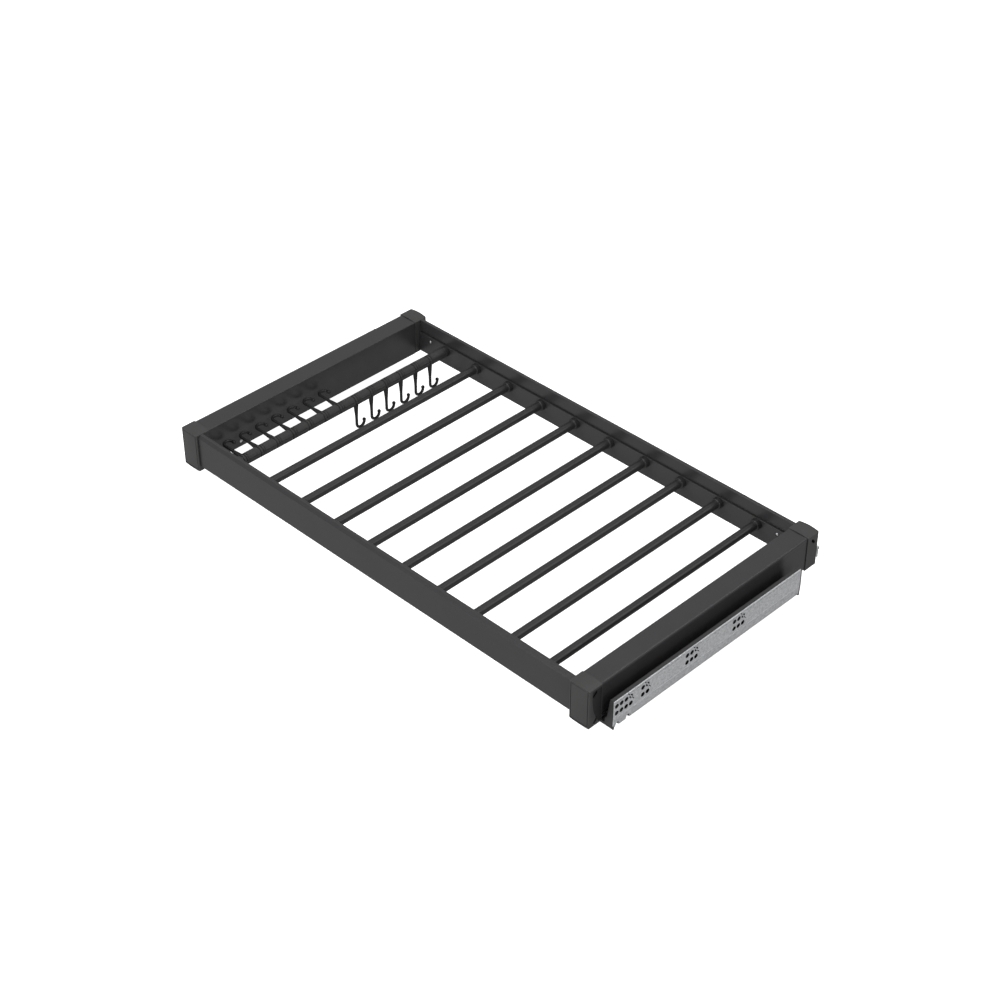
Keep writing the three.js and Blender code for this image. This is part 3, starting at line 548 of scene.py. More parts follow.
@dataclass
class Screw:
    """A pan head screw with a cross recess, seated on a rail's inner face."""

    name: str
    axis: str
    centre: tuple[float, float]
    seat: float
    outward: int
    radius: float = 2.2
    height: float = 1.2
    slot: float = 0.7
    foot_soft: float = 0.1
    rim_share: float = 0.35
    dome_turn: float = 1.45
    arm_share: float = 0.62
    cross_share: float = 0.5

    def build(self) -> bpy.types.Object:
        """Makes the head: a straight rim below a quarter ellipse, with a cross cut into its top."""
        turn, soft = np.linspace(0, self.dome_turn, 9), self.foot_soft
        rim = self.rim_share * self.height
        radius = np.concatenate([[self.radius - soft, self.radius], self.radius * np.cos(turn)])
        rise = np.concatenate([[0, soft], rim + (self.height - rim) * np.sin(turn)])
        profile = np.stack([radius, self.seat + self.outward * rise], -1)
        head = mesh_of(self.name, [turned(profile, self.centre, 40, self.axis)])
        arm, half = self.arm_share * self.radius, self.slot / 2
        quarter = np.array([(arm, -half), (arm, half), (half, half)])
        turns = [np.array([[c, s], [-s, c]]) for c, s in ((1, 0), (0, 1), (-1, 0), (0, -1))]
        cross = np.concatenate([quarter @ turn_by for turn_by in turns])
        floor = self.seat + self.outward * self.height * self.cross_share
        span = (floor, self.seat + self.outward * (self.height + 1))
        carved(head, [extruded(cross + np.array(self.centre), self.axis, *span, 0)])
        head.data.materials.clear()
        head.data.materials.append(SCREW_STEEL.material())
        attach(shaded(head), "rack")
        LOG.info("%s: %d faces", self.name, len(head.data.polygons))
        return head


@dataclass
class EndRail:
    """A front or rear rail: a low bead over a deeper box, with a chamfered outer edge."""

    end: End
    chamfer: float = 4.0
    top: float = -0.4
    bottom: float = -55.7
    bead_depth: float = 9.0
    bead_bottom: float = -20.0
    groove_height: float = 1.4
    groove_depth: float = 1.4
    fixing_spread: float = 353.1
    recess_radius: float = 3.2
    recess_depth: float = 0.9

    def outline(self) -> Array:
        """The rail's section as (y, z), from rows of y inward, z and corner radius."""
        back, face = SIZES.rail_setback, SIZES.rail_face
        top, bottom = self.top, self.bottom
        groove = back + self.bead_depth - self.groove_depth
        box_top = self.bead_bottom - self.groove_height
        corners = [
            (back, bottom, 0.6),
            (back, top - self.chamfer, 0.8),
            (back + self.chamfer, top, 0.8),
            (back + self.bead_depth, top, 0.8),
            (back + self.bead_depth, self.bead_bottom, 0.3),
            (groove, self.bead_bottom, 0.3),
            (groove, box_top, 0.3),
            (face, box_top, 0.6),
            (face, bottom, 0.6),
        ]
        return rounded([(SIZES.along(self.end, y), z, r) for y, z, r in corners])

    def build(self) -> bpy.types.Object:
        """Makes the rail, and two sunk screws in the rear one."""
        reach = SIZES.half_width - SIZES.cap_width - SIZES.play
        name = f"{self.end.value}_rail"
        rail = mesh_of(name + "_profile", [extruded(self.outline(), "x", -reach, reach)])
        if self.end is End.REAR:
            face = SIZES.depth - SIZES.rail_face
            floor = face + self.recess_depth
            places = [side.value * self.fixing_spread for side in Side]
            rounds = [disc(x, SIZES.bar_height, self.recess_radius) for x in places]
            carved(rail, [extruded(outline, "y", face - 3, floor, 0) for outline in rounds])
            for side, x in zip(Side, places):
                screw = f"rear_rail_screw_{side.name.lower()}"
                Screw(screw, "y", (x, SIZES.bar_height), floor, -1).build()
        return dressed(shaded(rail), name, FRAME_COAT.material())


@dataclass
class SideRail:
    """A side rail: a closed box whose skirt hides the runner from inside."""

    side: Side
    inset: float = 0.4
    width: float = 33.0
    top: float = -0.2
    wall: float = 1.8
    skirt: float = 3.6
    outer_radius: float = 3.2
    inner_radius: float = 1.6
    screw_place: tuple[float, float] = (81.0, -48.6)
    screw_radius: float = 2.7
    screw_rise: float = 1.6

    def outline(self) -> Array:
        """The rail's section as (x, z), from rows of x inward, z and corner radius."""
        outer, inner = self.inset, self.inset + self.width
        bottom, skirt = SIZES.rail_bottom, SIZES.rail_bottom - self.skirt
        corners = [
            (outer, bottom, 0.5),
            (outer, self.top, self.outer_radius),
            (inner, self.top, self.inner_radius),
            (inner, skirt, 0.5),
            (inner - self.wall, skirt, 0.5),
            (inner - self.wall, bottom, 0.3),
        ]
        return rounded([(SIZES.across(self.side, x), z, r) for x, z, r in corners], 7)

    def build(self) -> bpy.types.Object:
        """Makes the rail between its two caps, and the screw on its inner face."""
        end = SIZES.cap_depth + SIZES.play
        name = f"{self.side.name.lower()}_rail"
        rail = mesh_of(name + "_profile", [extruded(self.outline(), "y", end, SIZES.depth - end)])
        seat, inward = SIZES.across(self.side, self.inset + self.width), -self.side.value
        size = (self.screw_radius, self.screw_rise)
        Screw(name + "_screw", "x", self.screw_place, seat, inward, *size).build()
        return dressed(shaded(rail), name, FRAME_COAT.material())


@dataclass
class CornerCap:
    """A corner cap: crowned on top, bowed at its outer end, sunk or plain on its outer side.

    Places along it are measured in from its own end of the rack, and heights are the drawing's. The
    recess is the front cap's sunk field, with painted shade on its floor, the line the groove round
    the end face, and each slot opens into a hollow behind the skin.
    """

    side: Side
    end: End
    front_foot: float = -63.6
    rear_foot: float = -57.3
    crown: float = 1.5
    crown_points: int = 25
    top: float = 1.2
    waist: float = -10.0
    bow: float = 0.75
    edge_radius: float = 1.5
    edge_soft: float = 0.7
    foot_radius: float = 2.4
    foot_ease: float = 0.8
    proud: float = 1.0
    recess_depth: float = 1.2
    recess_top: float = -3.6
    recess_rim: float = 5.4
    recess_belly: float = 14.0
    recess_foot: float = 2.8
    recess_back: float = 1.2
    slot_places: tuple[tuple[float, float], ...] = ((11.4, -11.5), (11.9, -55.5))
    slot_width: float = 4.2
    slot_length: float = 9.4
    slot_slant: float = 4.4
    slot_skin: float = 1.2
    hollow_depth: float = 14.0
    hollow_reach: tuple[float, float] = (4.5, 21.5)
    hollow_fall: float = 6.4
    hollow_rise: float = 7.0
    channel_half: float = 8.8
    channel_foot: float = -60.0
    line_inset: float = 2.2
    line_width: float = 1.1
    line_depth: float = 0.8
    line_corner: float = 0.4

    def _across(self, inward: Array) -> Array:
        """The x of places measured in from the cap's outer side, which stands a little proud."""
        width, out = SIZES.cap_width, SIZES.half_width + self.proud
        return self.side.value * (out - inward * (width + self.proud) / width)

    @property
    def bottom(self) -> float:
        """Height of the cap's foot."""
        return self.front_foot if self.end is End.FRONT else self.rear_foot

    def _end_outline(self, inset: float, inner: float, outer: float) -> Array:
        """The end's outline drawn in by an inset, as (inward, z), anticlockwise from its foot.

        The crown is a parabola over the whole width. It takes over from the straight sides, which
        are only kept below the waist.

        Args:
            inset: how far it is drawn in.
            inner: radius of the foot's corner at the far side.
            outer: radius of the foot's corner at the outer side.

        Returns:
            The outline's points, one row each.
        """
        width, foot, above = SIZES.cap_width, self.bottom + inset, self.waist + 1
        near, far = inset, width - inset
        low = rounded([(far, foot, inner), (near, foot, outer), (near, above), (far, above)])
        x = width / 2 + (width / 2 - inset) * np.linspace(-1, 1, self.crown_points)
        crown = self.top - self.crown * (2 * x / width - 1) ** 2 - inset
        return np.concatenate([low[low[:, 1] < self.waist], np.stack([x, crown], -1)])

    def front_outline(self) -> Array:
        """The cap seen from the front, as (x, z)."""
        feet = [self.foot_radius, self.foot_ease]
        outline = self._end_outline(0.0, *(feet if self.side is Side.RIGHT else feet[::-1]))
        outline[:, 0] = self._across(outline[:, 0])
        return outline

    def plan_outline(self) -> Array:
        """The cap seen from above, as (x, y): its outer end bows out by a parabola."""
        width, depth, radius = SIZES.cap_width, SIZES.cap_depth, self.edge_radius
        box = rounded([(0, 0, radius), (width, 0, radius), (width, depth), (0, depth)], 8)
        inside = (box[:, 0] > radius / 2) & (box[:, 0] < width - radius / 2)
        box = box[~(inside & (np.abs(box[:, 1]) < 1e-6))]
        share = np.linspace(-1, 1, self.crown_points)[2:-2]
        bow = np.stack([width * (share + 1) / 2, self.bow * (share**2 - 1)], -1)
        outline = np.concatenate([box, bow])
        centre = outline.mean(0)
        angle = np.arctan2(outline[:, 1] - centre[1], outline[:, 0] - centre[0])
        outline = outline[np.argsort(angle)]
        return np.stack([self._across(outline[:, 0]), SIZES.along(self.end, outline[:, 1])], -1)

    def recess_outline(self) -> Array:
        """The sunk field of a front cap, as (y, z): its front rim runs back as the cube of its fall."""
        share = np.linspace(0, 1, 17)
        top, foot = self.recess_top, self.bottom + self.recess_foot
        rear = SIZES.cap_depth - self.recess_back
        rim = [self.recess_rim + self.recess_belly * share**3, top + (foot - top) * share]
        return np.concatenate([np.stack(rim, -1), [(rear, foot), (rear, top)]])

    def _inset_line(self) -> Solid:
        """A fine groove that runs round the cap's end face, inside its rim.

        Its two edges are the end's outline drawn in by the inset and by the inset and the width, and
        it goes as deep as the bowed face, y = bow (s^2 - 1), and its own depth.
        """
        edges = []
        for inset in (self.line_inset, self.line_inset + self.line_width):
            inward, z = self._end_outline(inset, self.line_corner, self.line_corner).T
            face = self.bow * ((2 * inward / SIZES.cap_width - 1) ** 2 - 1)
            x, levels = self._across(inward), (face - 1, face + self.line_depth)
            edges.append([np.stack([x, SIZES.along(self.end, y), z], -1) for y in levels])
        (near_out, near_back), (far_out, far_back) = edges
        return ringed(np.stack([near_out, far_out, far_back, near_back], 1))

    def _span(self, y_from: float, y_to: float) -> tuple[float, float]:
        """Two places in from the cap's own end."""
        return SIZES.along(self.end, y_from), SIZES.along(self.end, y_to)

    def _slots(self) -> tuple[list[Solid], list[Solid]]:
        """The slanted slots of the outer side, and the hollow that each opens into.

        A front cap has two, a rear cap only the upper one.
        """
        sign, front = self.side.value, self.end is End.FRONT
        lean = self.slot_slant if front else -self.slot_slant
        face = SIZES.half_width - self.slot_skin
        slot_span = (sign * (face - 1), sign * (SIZES.half_width + 3))
        hollow_span = (sign * (SIZES.half_width - self.hollow_depth), sign * face)
        near, far = sorted(SIZES.along(self.end, y) for y in self.hollow_reach)
        slots, hollows = [], []
        for y, z in self.slot_places if front else self.slot_places[:1]:
            place = SIZES.along(self.end, y)
            outline = slotted(place, z, self.slot_width, self.slot_length, lean)
            slots.append(extruded(outline, "x", *slot_span, 0))
            low, high = z - self.hollow_fall, z + self.hollow_rise
            box = [(near, low), (far, low), (far, high), (near, high)]
            hollows.append(extruded(np.array(box), "x", *hollow_span, 0))
        return slots, hollows

    @property
    def _recess_floor(self) -> float:
        """The x of the sunk field's floor."""
        return self.side.value * (SIZES.half_width + self.proud - self.recess_depth)

    def _channel(self) -> Solid:
        """The passage under a rear cap for the drawer member."""
        half, top, foot = self.channel_half, SIZES.rail_bottom, self.channel_foot
        corners = [(-half, top), (-half, foot), (half, foot), (half, top)]
        outline = [(SIZES.across(self.side, a - SIZES.runner_centre), z) for a, z in corners]
        return extruded(np.array(outline), "y", *self._span(-3, SIZES.cap_depth + 3), 0)

    def _paint_field_shade(self, cap: bpy.types.Object) -> None:
        """Paints the floor of the sunk field, wherever a face lies at its depth: a rougher grain, and a
        darker colour that is painted shade.
        """
        cap.data.materials.append(CAP_FIELD_GRAIN_AND_SHADE.material())
        for face in cap.data.polygons:
            level = abs(face.center.x - self._recess_floor * MM) < 0.1 * MM
            if level and abs(face.normal.x) > 0.9:
                face.material_index = 1

    def build(self) -> bpy.types.Object:
        """Makes the cap from its two outlines, cuts its outer side and lines its end."""
        name = f"{self.end.value}_{self.side.name.lower()}_cap"
        block = extruded(self.front_outline(), "y", *self._span(-2, SIZES.cap_depth), 0)
        plan = extruded(self.plan_outline(), "z", self.bottom - 1, self.top + 1, 0)
        cap = carved(mesh_of(name + "_moulding", [block]), [plan], "INTERSECT")
        if self.end is End.REAR:
            carved(cap, [self._channel()])
        softened(cap, self.edge_soft)
        carved(cap, [self._inset_line()])
        if self.end is End.FRONT:
            past = self.side.value * (SIZES.half_width + 3)
            carved(cap, [extruded(self.recess_outline(), "x", self._recess_floor, past, 0)])
        slots, hollows = self._slots()
        carved(carved(cap, hollows), slots)
        dressed(shaded(cap), name, CAP_PLASTIC.material())
        # Painted shade on the sunk field's floor.
        self._paint_field_shade(cap)
        return cap


# Bars, sleeves and hooks


@dataclass
class CrossBar:
    """A round bar between the front and rear rails, with a ferrule at each end."""

    number: int
    nose: float = 1.2
    soft: float = 0.3
    collar: float = 1.0
    run_in: float = 2.0

    def profile(self) -> Array:
        """Rows of (radius, y) from the front rail to the rear one: each nose is a quarter circle."""
        ferrule, bar = SIZES.ferrule_diameter / 2, SIZES.bar_diameter / 2
        start, soft = SIZES.bar_end, self.soft
        end = start + SIZES.ferrule_length
        turn = np.linspace(0, np.pi / 2, 6)
        nose_radius = ferrule - self.nose * (1 - np.cos(turn))
        nose_y = end - self.nose + self.nose * np.sin(turn)
        half = np.concatenate(
            [
                [(ferrule - soft, start), (ferrule, start + soft), (ferrule, start + self.collar)],
                np.stack([nose_radius, nose_y], -1),
                [(bar + soft, end), (bar, end + soft), (bar, end + self.run_in)],
            ]
        )
        other = half[::-1] * [1, -1] + [0, SIZES.depth]
        return np.concatenate([half, other])

    def build(self) -> bpy.types.Object:
        """Makes the bar in its place."""
        x = SIZES.bar_places()[self.number]
        node = "hook_bar" if self.number == 0 else f"trouser_bar_{self.number}"
        bar = mesh_of(node + "_turning", [turned(self.profile(), (x, SIZES.bar_height))])
        return dressed(shaded(bar), node, BAR_COAT.material())


def stations(*columns: Array | float) -> Array:
    """A path's stations, one row each, from columns that are arrays or one value for all."""
    return np.stack(np.broadcast_arrays(*columns), -1)


@dataclass
class HookRow:
    """The swivel hooks on the hook bar and the ribbed sleeves that space them.

    Field, border, rib, seam and nose give a sleeve's relief: a set is a distance from its end, a
    turn an angle about its top. Neck, wire, gap width, tip and ball give a hook's line.
    """

    count: int = 13
    raised: int = 7
    first: float = 40.0
    pitch: float = 31.33
    gap: float = 0.12
    sleeve_diameter: float = 17.6
    sleeve_sides: int = 144
    edge_steps: tuple[float, ...] = (0.0, 0.12, 0.3, 0.5, 0.6, 1.1, 1.2)
    middle_sets: tuple[float, float] = (3.4, 8.4)
    field_turn: float = math.radians(72)
    field_set: float = 1.15
    border_turn: float = 0.17
    border_set: float = 0.55
    border_depth: float = 0.9
    rib_count: int = 36
    rib_depth: float = 0.28
    seam_set: float = 5.6
    seam_steps: tuple[float, ...] = (-0.95, -0.75, 0.75, 0.95)
    seam_half: float = 0.85
    seam_depth: float = 1.3
    nose_drop: float = 0.3
    nose_length: float = 0.4
    ring_width: float = 2.4
    ring_diameter: float = 17.6
    ring_soft: float = 0.35
    reach: float = 56.19
    neck_width: float = 9.4
    neck_end: float = 36.0
    wire: float = 4.5
    thickness: float = 4.5
    gap_width: float = 10.8
    tip_rise: float = 2.0
    ball: float = 5.8
    ball_start: float = -0.62
    ball_tip: float = 0.05

    def centre(self) -> tuple[float, float]:
        """x and z of the hook bar."""
        return SIZES.bar_places()[0], SIZES.bar_height

    def sleeve_spans(self) -> list[tuple[float, float]]:
        """Start and end of each sleeve, between the rings and the ferrules."""
        room = self.ring_width / 2 + self.gap
        rings = self.first + self.pitch * np.arange(self.count)
        edge = SIZES.bar_end + SIZES.ferrule_length + SIZES.play
        starts = [edge, *(rings + room)]
        ends = [*(rings - room), SIZES.depth - edge]
        return list(zip(starts, ends))

    def sleeve(self, start: float, end: float, plain: bool) -> Solid:
        """A sleeve whose upper side carries a ribbed grip field inside a sunk border.

        The radius is the sleeve's own less a border groove and a cosine of the angle for the ribs,
        both about the top and short of the ends, less a square that rounds each end. A fine seam
        runs round it a little before its rear end.

        Args:
            start: where it starts along y.
            end: where it ends.
            plain: whether it has neither field nor seam.

        Returns:
            The closed solid.
        """
        full = self.sleeve_diameter / 2
        angle = np.arange(self.sleeve_sides) * 2 * np.pi / self.sleeve_sides
        edges, (first, last) = np.array(self.edge_steps), self.middle_sets
        middle = np.linspace(first, (end - start) - last, 3)
        seam = end - self.seam_set + np.array(self.seam_steps)
        y = np.concatenate([start + edges, start + middle, seam, end - edges[::-1]])[:, None]
        from_end = np.minimum(y - start, end - y)
        radius = full - self.nose_drop * np.clip(1 - from_end / self.nose_length, 0, 1) ** 2
        if not plain:
            about = np.abs((angle - np.pi / 2 + np.pi) % (2 * np.pi) - np.pi)
            field = (about < self.field_turn) & (from_end > self.field_set)
            border = (about < self.field_turn + self.border_turn) & (from_end > self.border_set)
            ribs = 0.5 + 0.5 * np.cos(angle * self.rib_count)
            in_seam = np.abs(y - end + self.seam_set) < self.seam_half
            radius = radius - self.border_depth * (border & ~field) - self.rib_depth * field * ribs
            radius = np.minimum(radius, full - self.seam_depth * in_seam)
        x0, z0 = self.centre()
        return skinned(stations(x0 + radius * np.cos(angle), y, z0 + radius * np.sin(angle)))

    def hook(self, y: float, raised: bool) -> list[Solid]:
        """A hook on its ring, hanging or raised toward the side rail.

        The stem narrows from the ring by a smooth step, 3 t^2 - 2 t^3, then turns by half a circle
        and ends in a ball, whose stations follow a circle. Each station is a place (y, z), a heading
        and the two half axes of an ellipse.

        Args:
            y: where its ring is centred along the bar.
            raised: whether it points at the side rail instead of down.

        Returns:
            The stem and the ring, two closed solids.
        """
        wire, thickness = self.wire / 2, self.thickness / 2
        bend = (self.gap_width + self.wire) / 2
        turn = -self.reach + bend + wire
        ring = self.ring_diameter / 2
        t = np.linspace(0, 1, 9)
        ease = t * t * (3 - 2 * t)
        stem_z = -ring + 1 + (-self.neck_end + ring - 1) * t
        neck = self.neck_width / 2 + (self.wire - self.neck_width) / 2 * ease
        stem = stations(0.0, stem_z, -np.pi / 2, neck, thickness)
        a = np.linspace(0, np.pi, 25)
        arc = stations(
            bend - bend * np.cos(a), turn - bend * np.sin(a), -np.pi / 2 + a, wire, thickness
        )
        b = np.linspace(self.ball_start, 1, 10) * np.pi / 2
        girth = np.maximum(self.ball / 2 * np.cos(b), self.ball_tip)
        girth[0] = wire
        knob_z = turn + self.tip_rise + self.ball / 2 * np.sin(b)
        knob = stations(2 * bend, knob_z, np.pi / 2, girth, np.where(b == b[0], thickness, girth))
        line = np.concatenate([stem, arc, knob])
        py, pz, heading, wide, thick = line.T[:, :, None]
        angle = (np.arange(20) * 2 * np.pi / 20)[None]
        out = wide * np.cos(angle)
        loft = stations(thick * np.sin(angle), py - out * np.sin(heading), pz + out * np.cos(heading))
        half, soft = self.ring_width / 2, self.ring_soft
        rim = [(ring - soft, -half), (ring, -half + soft), (ring, half - soft), (ring - soft, half)]
        band = turned(np.array(rim), (0, 0), 56)
        solids = [skinned(loft), band]
        x0, z0 = self.centre()
        placed = []
        for points, faces in solids:
            if raised:
                points = np.stack([points[:, 2], points[:, 1], -points[:, 0]], -1)
            placed.append((points + [x0, y, z0], faces))
        return placed

    def build(self) -> None:
        """Makes every sleeve and hook."""
        for i, (start, end) in enumerate(self.sleeve_spans()):
            node = f"spacer_sleeve_{i + 1}"
            piece = mesh_of(node + "_grip", [self.sleeve(start, end, i == self.count)])
            dressed(shaded(piece), node, GRIP_RUBBER.material())
        for i in range(self.count):
            node = f"hook_{i + 1}"
            stem, band = self.hook(self.first + self.pitch * i, i < self.raised)
            piece = carved(mesh_of(node + "_moulding", [stem]), [band], "UNION")
            dressed(shaded(piece), node, HOOK_PLASTIC.material())
            self._ring_toned(piece)

    def _ring_toned(self, piece: bpy.types.Object) -> None:
        """Gives a hook's ring the tone of the sleeves beside it."""
        piece.data.materials.append(GRIP_RUBBER.material())
        x, z = self.centre()
        axis_x, _, axis_z = DATUM.place(np.array([[x, 0, z]]))[0]
        rim = (self.ring_diameter / 2 + 0.03) * MM
        for face in piece.data.polygons:
            if math.hypot(face.center.x - axis_x, face.center.z - axis_z) < rim:
                face.material_index = 1


# Runners


@dataclass
class Runner:
    """One telescopic runner: its pierced cabinet member, its cover and the sliding members.

    Widths are measured out from the cap's outer side, with the web's outer face at web_outer, and
    heights are the drawing's. A row of a section is its place across, its height and, where given,
    its corner's radius. Sets of notches and groups of holes are measured back from the web's start.
    """

    side: Side
    web_outer: float = 21.65
    web_sheet: float = 1.4
    web_top: float = -19.5
    web_bend: float = -48.8
    web_crease: Corners = ((0.0, 0.6, 0.05), (-0.8, 0.5, 0.05), (-0.05, -0.6, 0.1))
    web_tuck: float = 0.9
    web_stub: float = 9.0
    web_foot_radius: float = 5.5
    web_start: float = 24.5
    web_end: float = 403.7
    line_height: float = -22.9
    line_width: float = 0.8
    line_depth: float = 0.9
    hole: float = 7.2
    hole_flare: float = 0.8
    hole_pitch: float = 9.0
    upper_row: float = -28.6
    lower_row: float = -40.6
    first_group: float = 31.9
    system_pitch: float = 32.0
    group_steps: tuple[int, ...] = (0, 1, 4, 7)
    columns: tuple[int, ...] = (4, 2, 3, 3)
    bridge: float = 1.7
    bridge_turn: float = -51.5
    lance_reach: float = 6.7
    lance_width: float = 1.2
    lance_length: float = 5.6
    lance_slant: float = -3.5
    notch_sets: tuple[float, ...] = (8.1, 28.2)
    notch_top: float = -57.5
    notch_foot_half: float = 6.4
    notch_head_half: float = 2.4
    notch_foot_radius: float = 0.5
    notch_head_radius: float = 1.2
    corner_top: float = -61.5
    guide_half: float = 6.0
    guide_top: float = -62.8
    shelf_overlap: float = 7.0
    shelf_start: float = 27.5
    sheet: float = 1.2
    drawer_start: float = 38.0
    drawer_lip: float = 1.3
    drawer_foot: float = -62.5
    tab_set: float = 12.2
    tab_top: float = -45.3
    loop_height: float = -39.6
    loop_radius: float = 2.94
    loop_bore: float = 1.3
    loop_width: float = 4.2
    cover_start: float = 25.2
    cover_length: float = 380.8
    cover_plate: float = 2.0
    cover_wall: float = 1.3
    cover_top_set: float = 14.2
    cover_foot_set: float = 7.1
    cover_knee: float = -59.9
    tongue: Corners = ((12.9, -23.3, 1.0), (10.0, -45.6, 4.0), (9.5, -50.6, 2.0), (5.6, -56.4, 2.0))
    tongue_foot: Corners = ((5.0, -64.0, 0.3), (-6.0, -64.0))
    heel_set: float = 20.5
    heel_top: float = -65.0
    heel_back: float = -62.0
    sole_set: float = -4.4
    sole_levels: tuple[float, float] = (0.05, 1.4)
    sole_end: float = 65.0
    # Below this height the cover's faces get painted shade.
    painted_shade_below: float = -63.5

    @property
    def name(self) -> str:
        """The side's name, as the nodes have it."""
        return self.side.name.lower()

    def _at(self, corners: Corners) -> list[tuple[float, ...]]:
        """Corners measured out from the cap's outer side, placed in the drawing."""
        return [(SIZES.across(self.side, -a), *rest) for a, *rest in corners]

    def _through(self, inward: float, outward: float) -> tuple[float, float]:
        """The x of two places, measured in and out from the web's outer face."""
        face = SIZES.half_width + self.web_outer
        return self.side.value * (face - inward), self.side.value * (face + outward)

    def group_ends(self) -> list[float]:
        """Place of each group's last hole, by the cabinet's drilling."""
        steps = self.system_pitch * np.array(self.group_steps)
        return (self.web_start + self.first_group + steps).tolist()

    def web_outline(self) -> Array:
        """Section of the web as (x, z): a crease, a tucked lower band and a round bend to the shelf."""
        outer, tucked = self.web_outer, self.web_outer - self.web_tuck
        inner, foot, bend = outer - self.web_sheet, SIZES.shelf_bottom, self.web_bend
        stub = tucked - self.web_stub
        return rounded(
            self._at(
                [
                    (outer, self.web_top, 0.5),
                    *[(outer + out, bend + up, radius) for out, up, radius in self.web_crease],
                    (tucked, foot, self.web_foot_radius),
                    (stub, foot),
                    (stub, SIZES.shelf_top),
                    (tucked - self.web_sheet, SIZES.shelf_top, self.web_foot_radius - self.web_sheet),
                    (inner, bend, 0.6),
                    (inner, self.web_top),
                ]
            ),
            6,
        )

    def _drilled(self, y: float, z: float) -> Solid:
        """A punched hole, wider by its flare on the inner face than on the outer one."""
        face, radius = SIZES.half_width + self.web_outer, self.hole / 2
        wide, inner = radius + self.hole_flare, face - self.web_sheet
        steps = [(radius, face + 2), (radius, face - 0.2), (wide, inner), (wide, face - 4)]
        profile = np.array(steps) * [1, self.side.value]
        return turned(profile, (y, z), 32, "x")

    def _bridged(self, y: float, z: float) -> list[Solid]:
        """A punched hole crossed by a slanting bridge, whose sides are lanced on past the hole.

        The two openings beside the bridge are segments of the disc beyond half the bridge's width,
        and the lances lie in line with it on either side.
        """
        radius, turn, span = self.hole / 2, math.radians(self.bridge_turn), self._through(4, 2)
        reach = math.asin(self.bridge / 2 / radius)
        made = []
        for way in (-1, 1):
            angle = turn + way * np.linspace(reach, np.pi - reach, 16)
            lobe = np.stack([y + radius * np.cos(angle), z + radius * np.sin(angle)], -1)
            made.append(extruded(lobe, "x", *span, 0))
            far = way * self.lance_reach
            place = (y + far * math.cos(turn), z + far * math.sin(turn))
            lance = slotted(*place, self.lance_width, self.lance_length, self.lance_slant)
            made.append(extruded(lance, "x", *span, 0))
        return made

    def holes(self) -> list[Solid]:
        """The round holes and the bridged one that ends each group's upper row."""
        made = []
        for count, last in zip(self.columns, self.group_ends()):
            places = last - np.arange(count) * self.hole_pitch
            made += [self._drilled(y, self.lower_row) for y in places]
            made += [self._drilled(y, self.upper_row) for y in places[1:]]
            made += self._bridged(last, self.upper_row)
        return made

    def _shelf(self) -> Solid:
        """The shelf under the track, with the two upright edges that guide the rollers."""
        outer, centre = self.web_outer - self.web_tuck - self.shelf_overlap, SIZES.runner_centre
        half, top, rise = self.guide_half, SIZES.shelf_top, self.guide_top
        guide = half + self.sheet
        corners = [
            (outer, SIZES.shelf_bottom),
            (outer, top),
            (centre + guide, top),
            (centre + guide, rise),
            (centre + half, rise),
            (centre + half, top),
            (centre - half, top),
            (centre - half, rise),
            (centre - guide, rise),
            (centre - guide, SIZES.shelf_bottom),
        ]
        outline = rounded(self._at(corners), 3, 0.12, 0.2)
        return extruded(outline, "y", self.shelf_start, self.web_end, 0.1)

    def _notches(self) -> list[Solid]:
        """The tapered notches in the web's foot, near its front end."""
        low, wide, narrow = SIZES.shelf_bottom - 4, self.notch_foot_half, self.notch_head_half
        made = []
        for y in self.web_start + np.array(self.notch_sets):
            foot = [(y + a, low, self.notch_foot_radius) for a in (-wide, wide)]
            head = [(y + a, self.notch_top, self.notch_head_radius) for a in (narrow, -narrow)]
            made.append(extruded(rounded(foot + head), "x", *self._through(13, 4), 0))
        return made

    def _front_corner(self) -> Solid:
        """The corner that the web leaves free for the cover's front plate."""
        low, top, start = SIZES.shelf_bottom - 4, self.corner_top, self.web_start - 2
        room = self.cover_start + self.cover_plate + 0.1
        outline = np.array([(start, low), (room, low), (room, top), (start, top)])
        return extruded(outline, "x", *self._through(13, 4), 0)

    def _groove(self) -> Solid:
        """The fine line along the upper part of the web."""
        inner, outer = self.web_outer - self.line_depth, self.web_outer + 1
        low, high = (self.line_height + way * self.line_width / 2 for way in (-1, 1))
        outline = self._at([(inner, low), (outer, low), (outer, high), (inner, high)])
        return extruded(np.array(outline), "y", self.web_start + 1, self.web_end + 1, 0)

    def build_cabinet_member(self) -> bpy.types.Object:
        """The bent sheet that is screwed to the cabinet."""
        node = f"{self.name}_cabinet_member"
        sheet = extruded(self.web_outline(), "y", self.web_start, self.web_end)
        member = carved(mesh_of(node + "_sheet", [sheet]), [self._shelf()], "UNION")
        for cut in (self.holes(), [self._front_corner()], self._notches(), [self._groove()]):
            carved(member, cut)
        return dressed(shaded(member), node, ZINC.material())

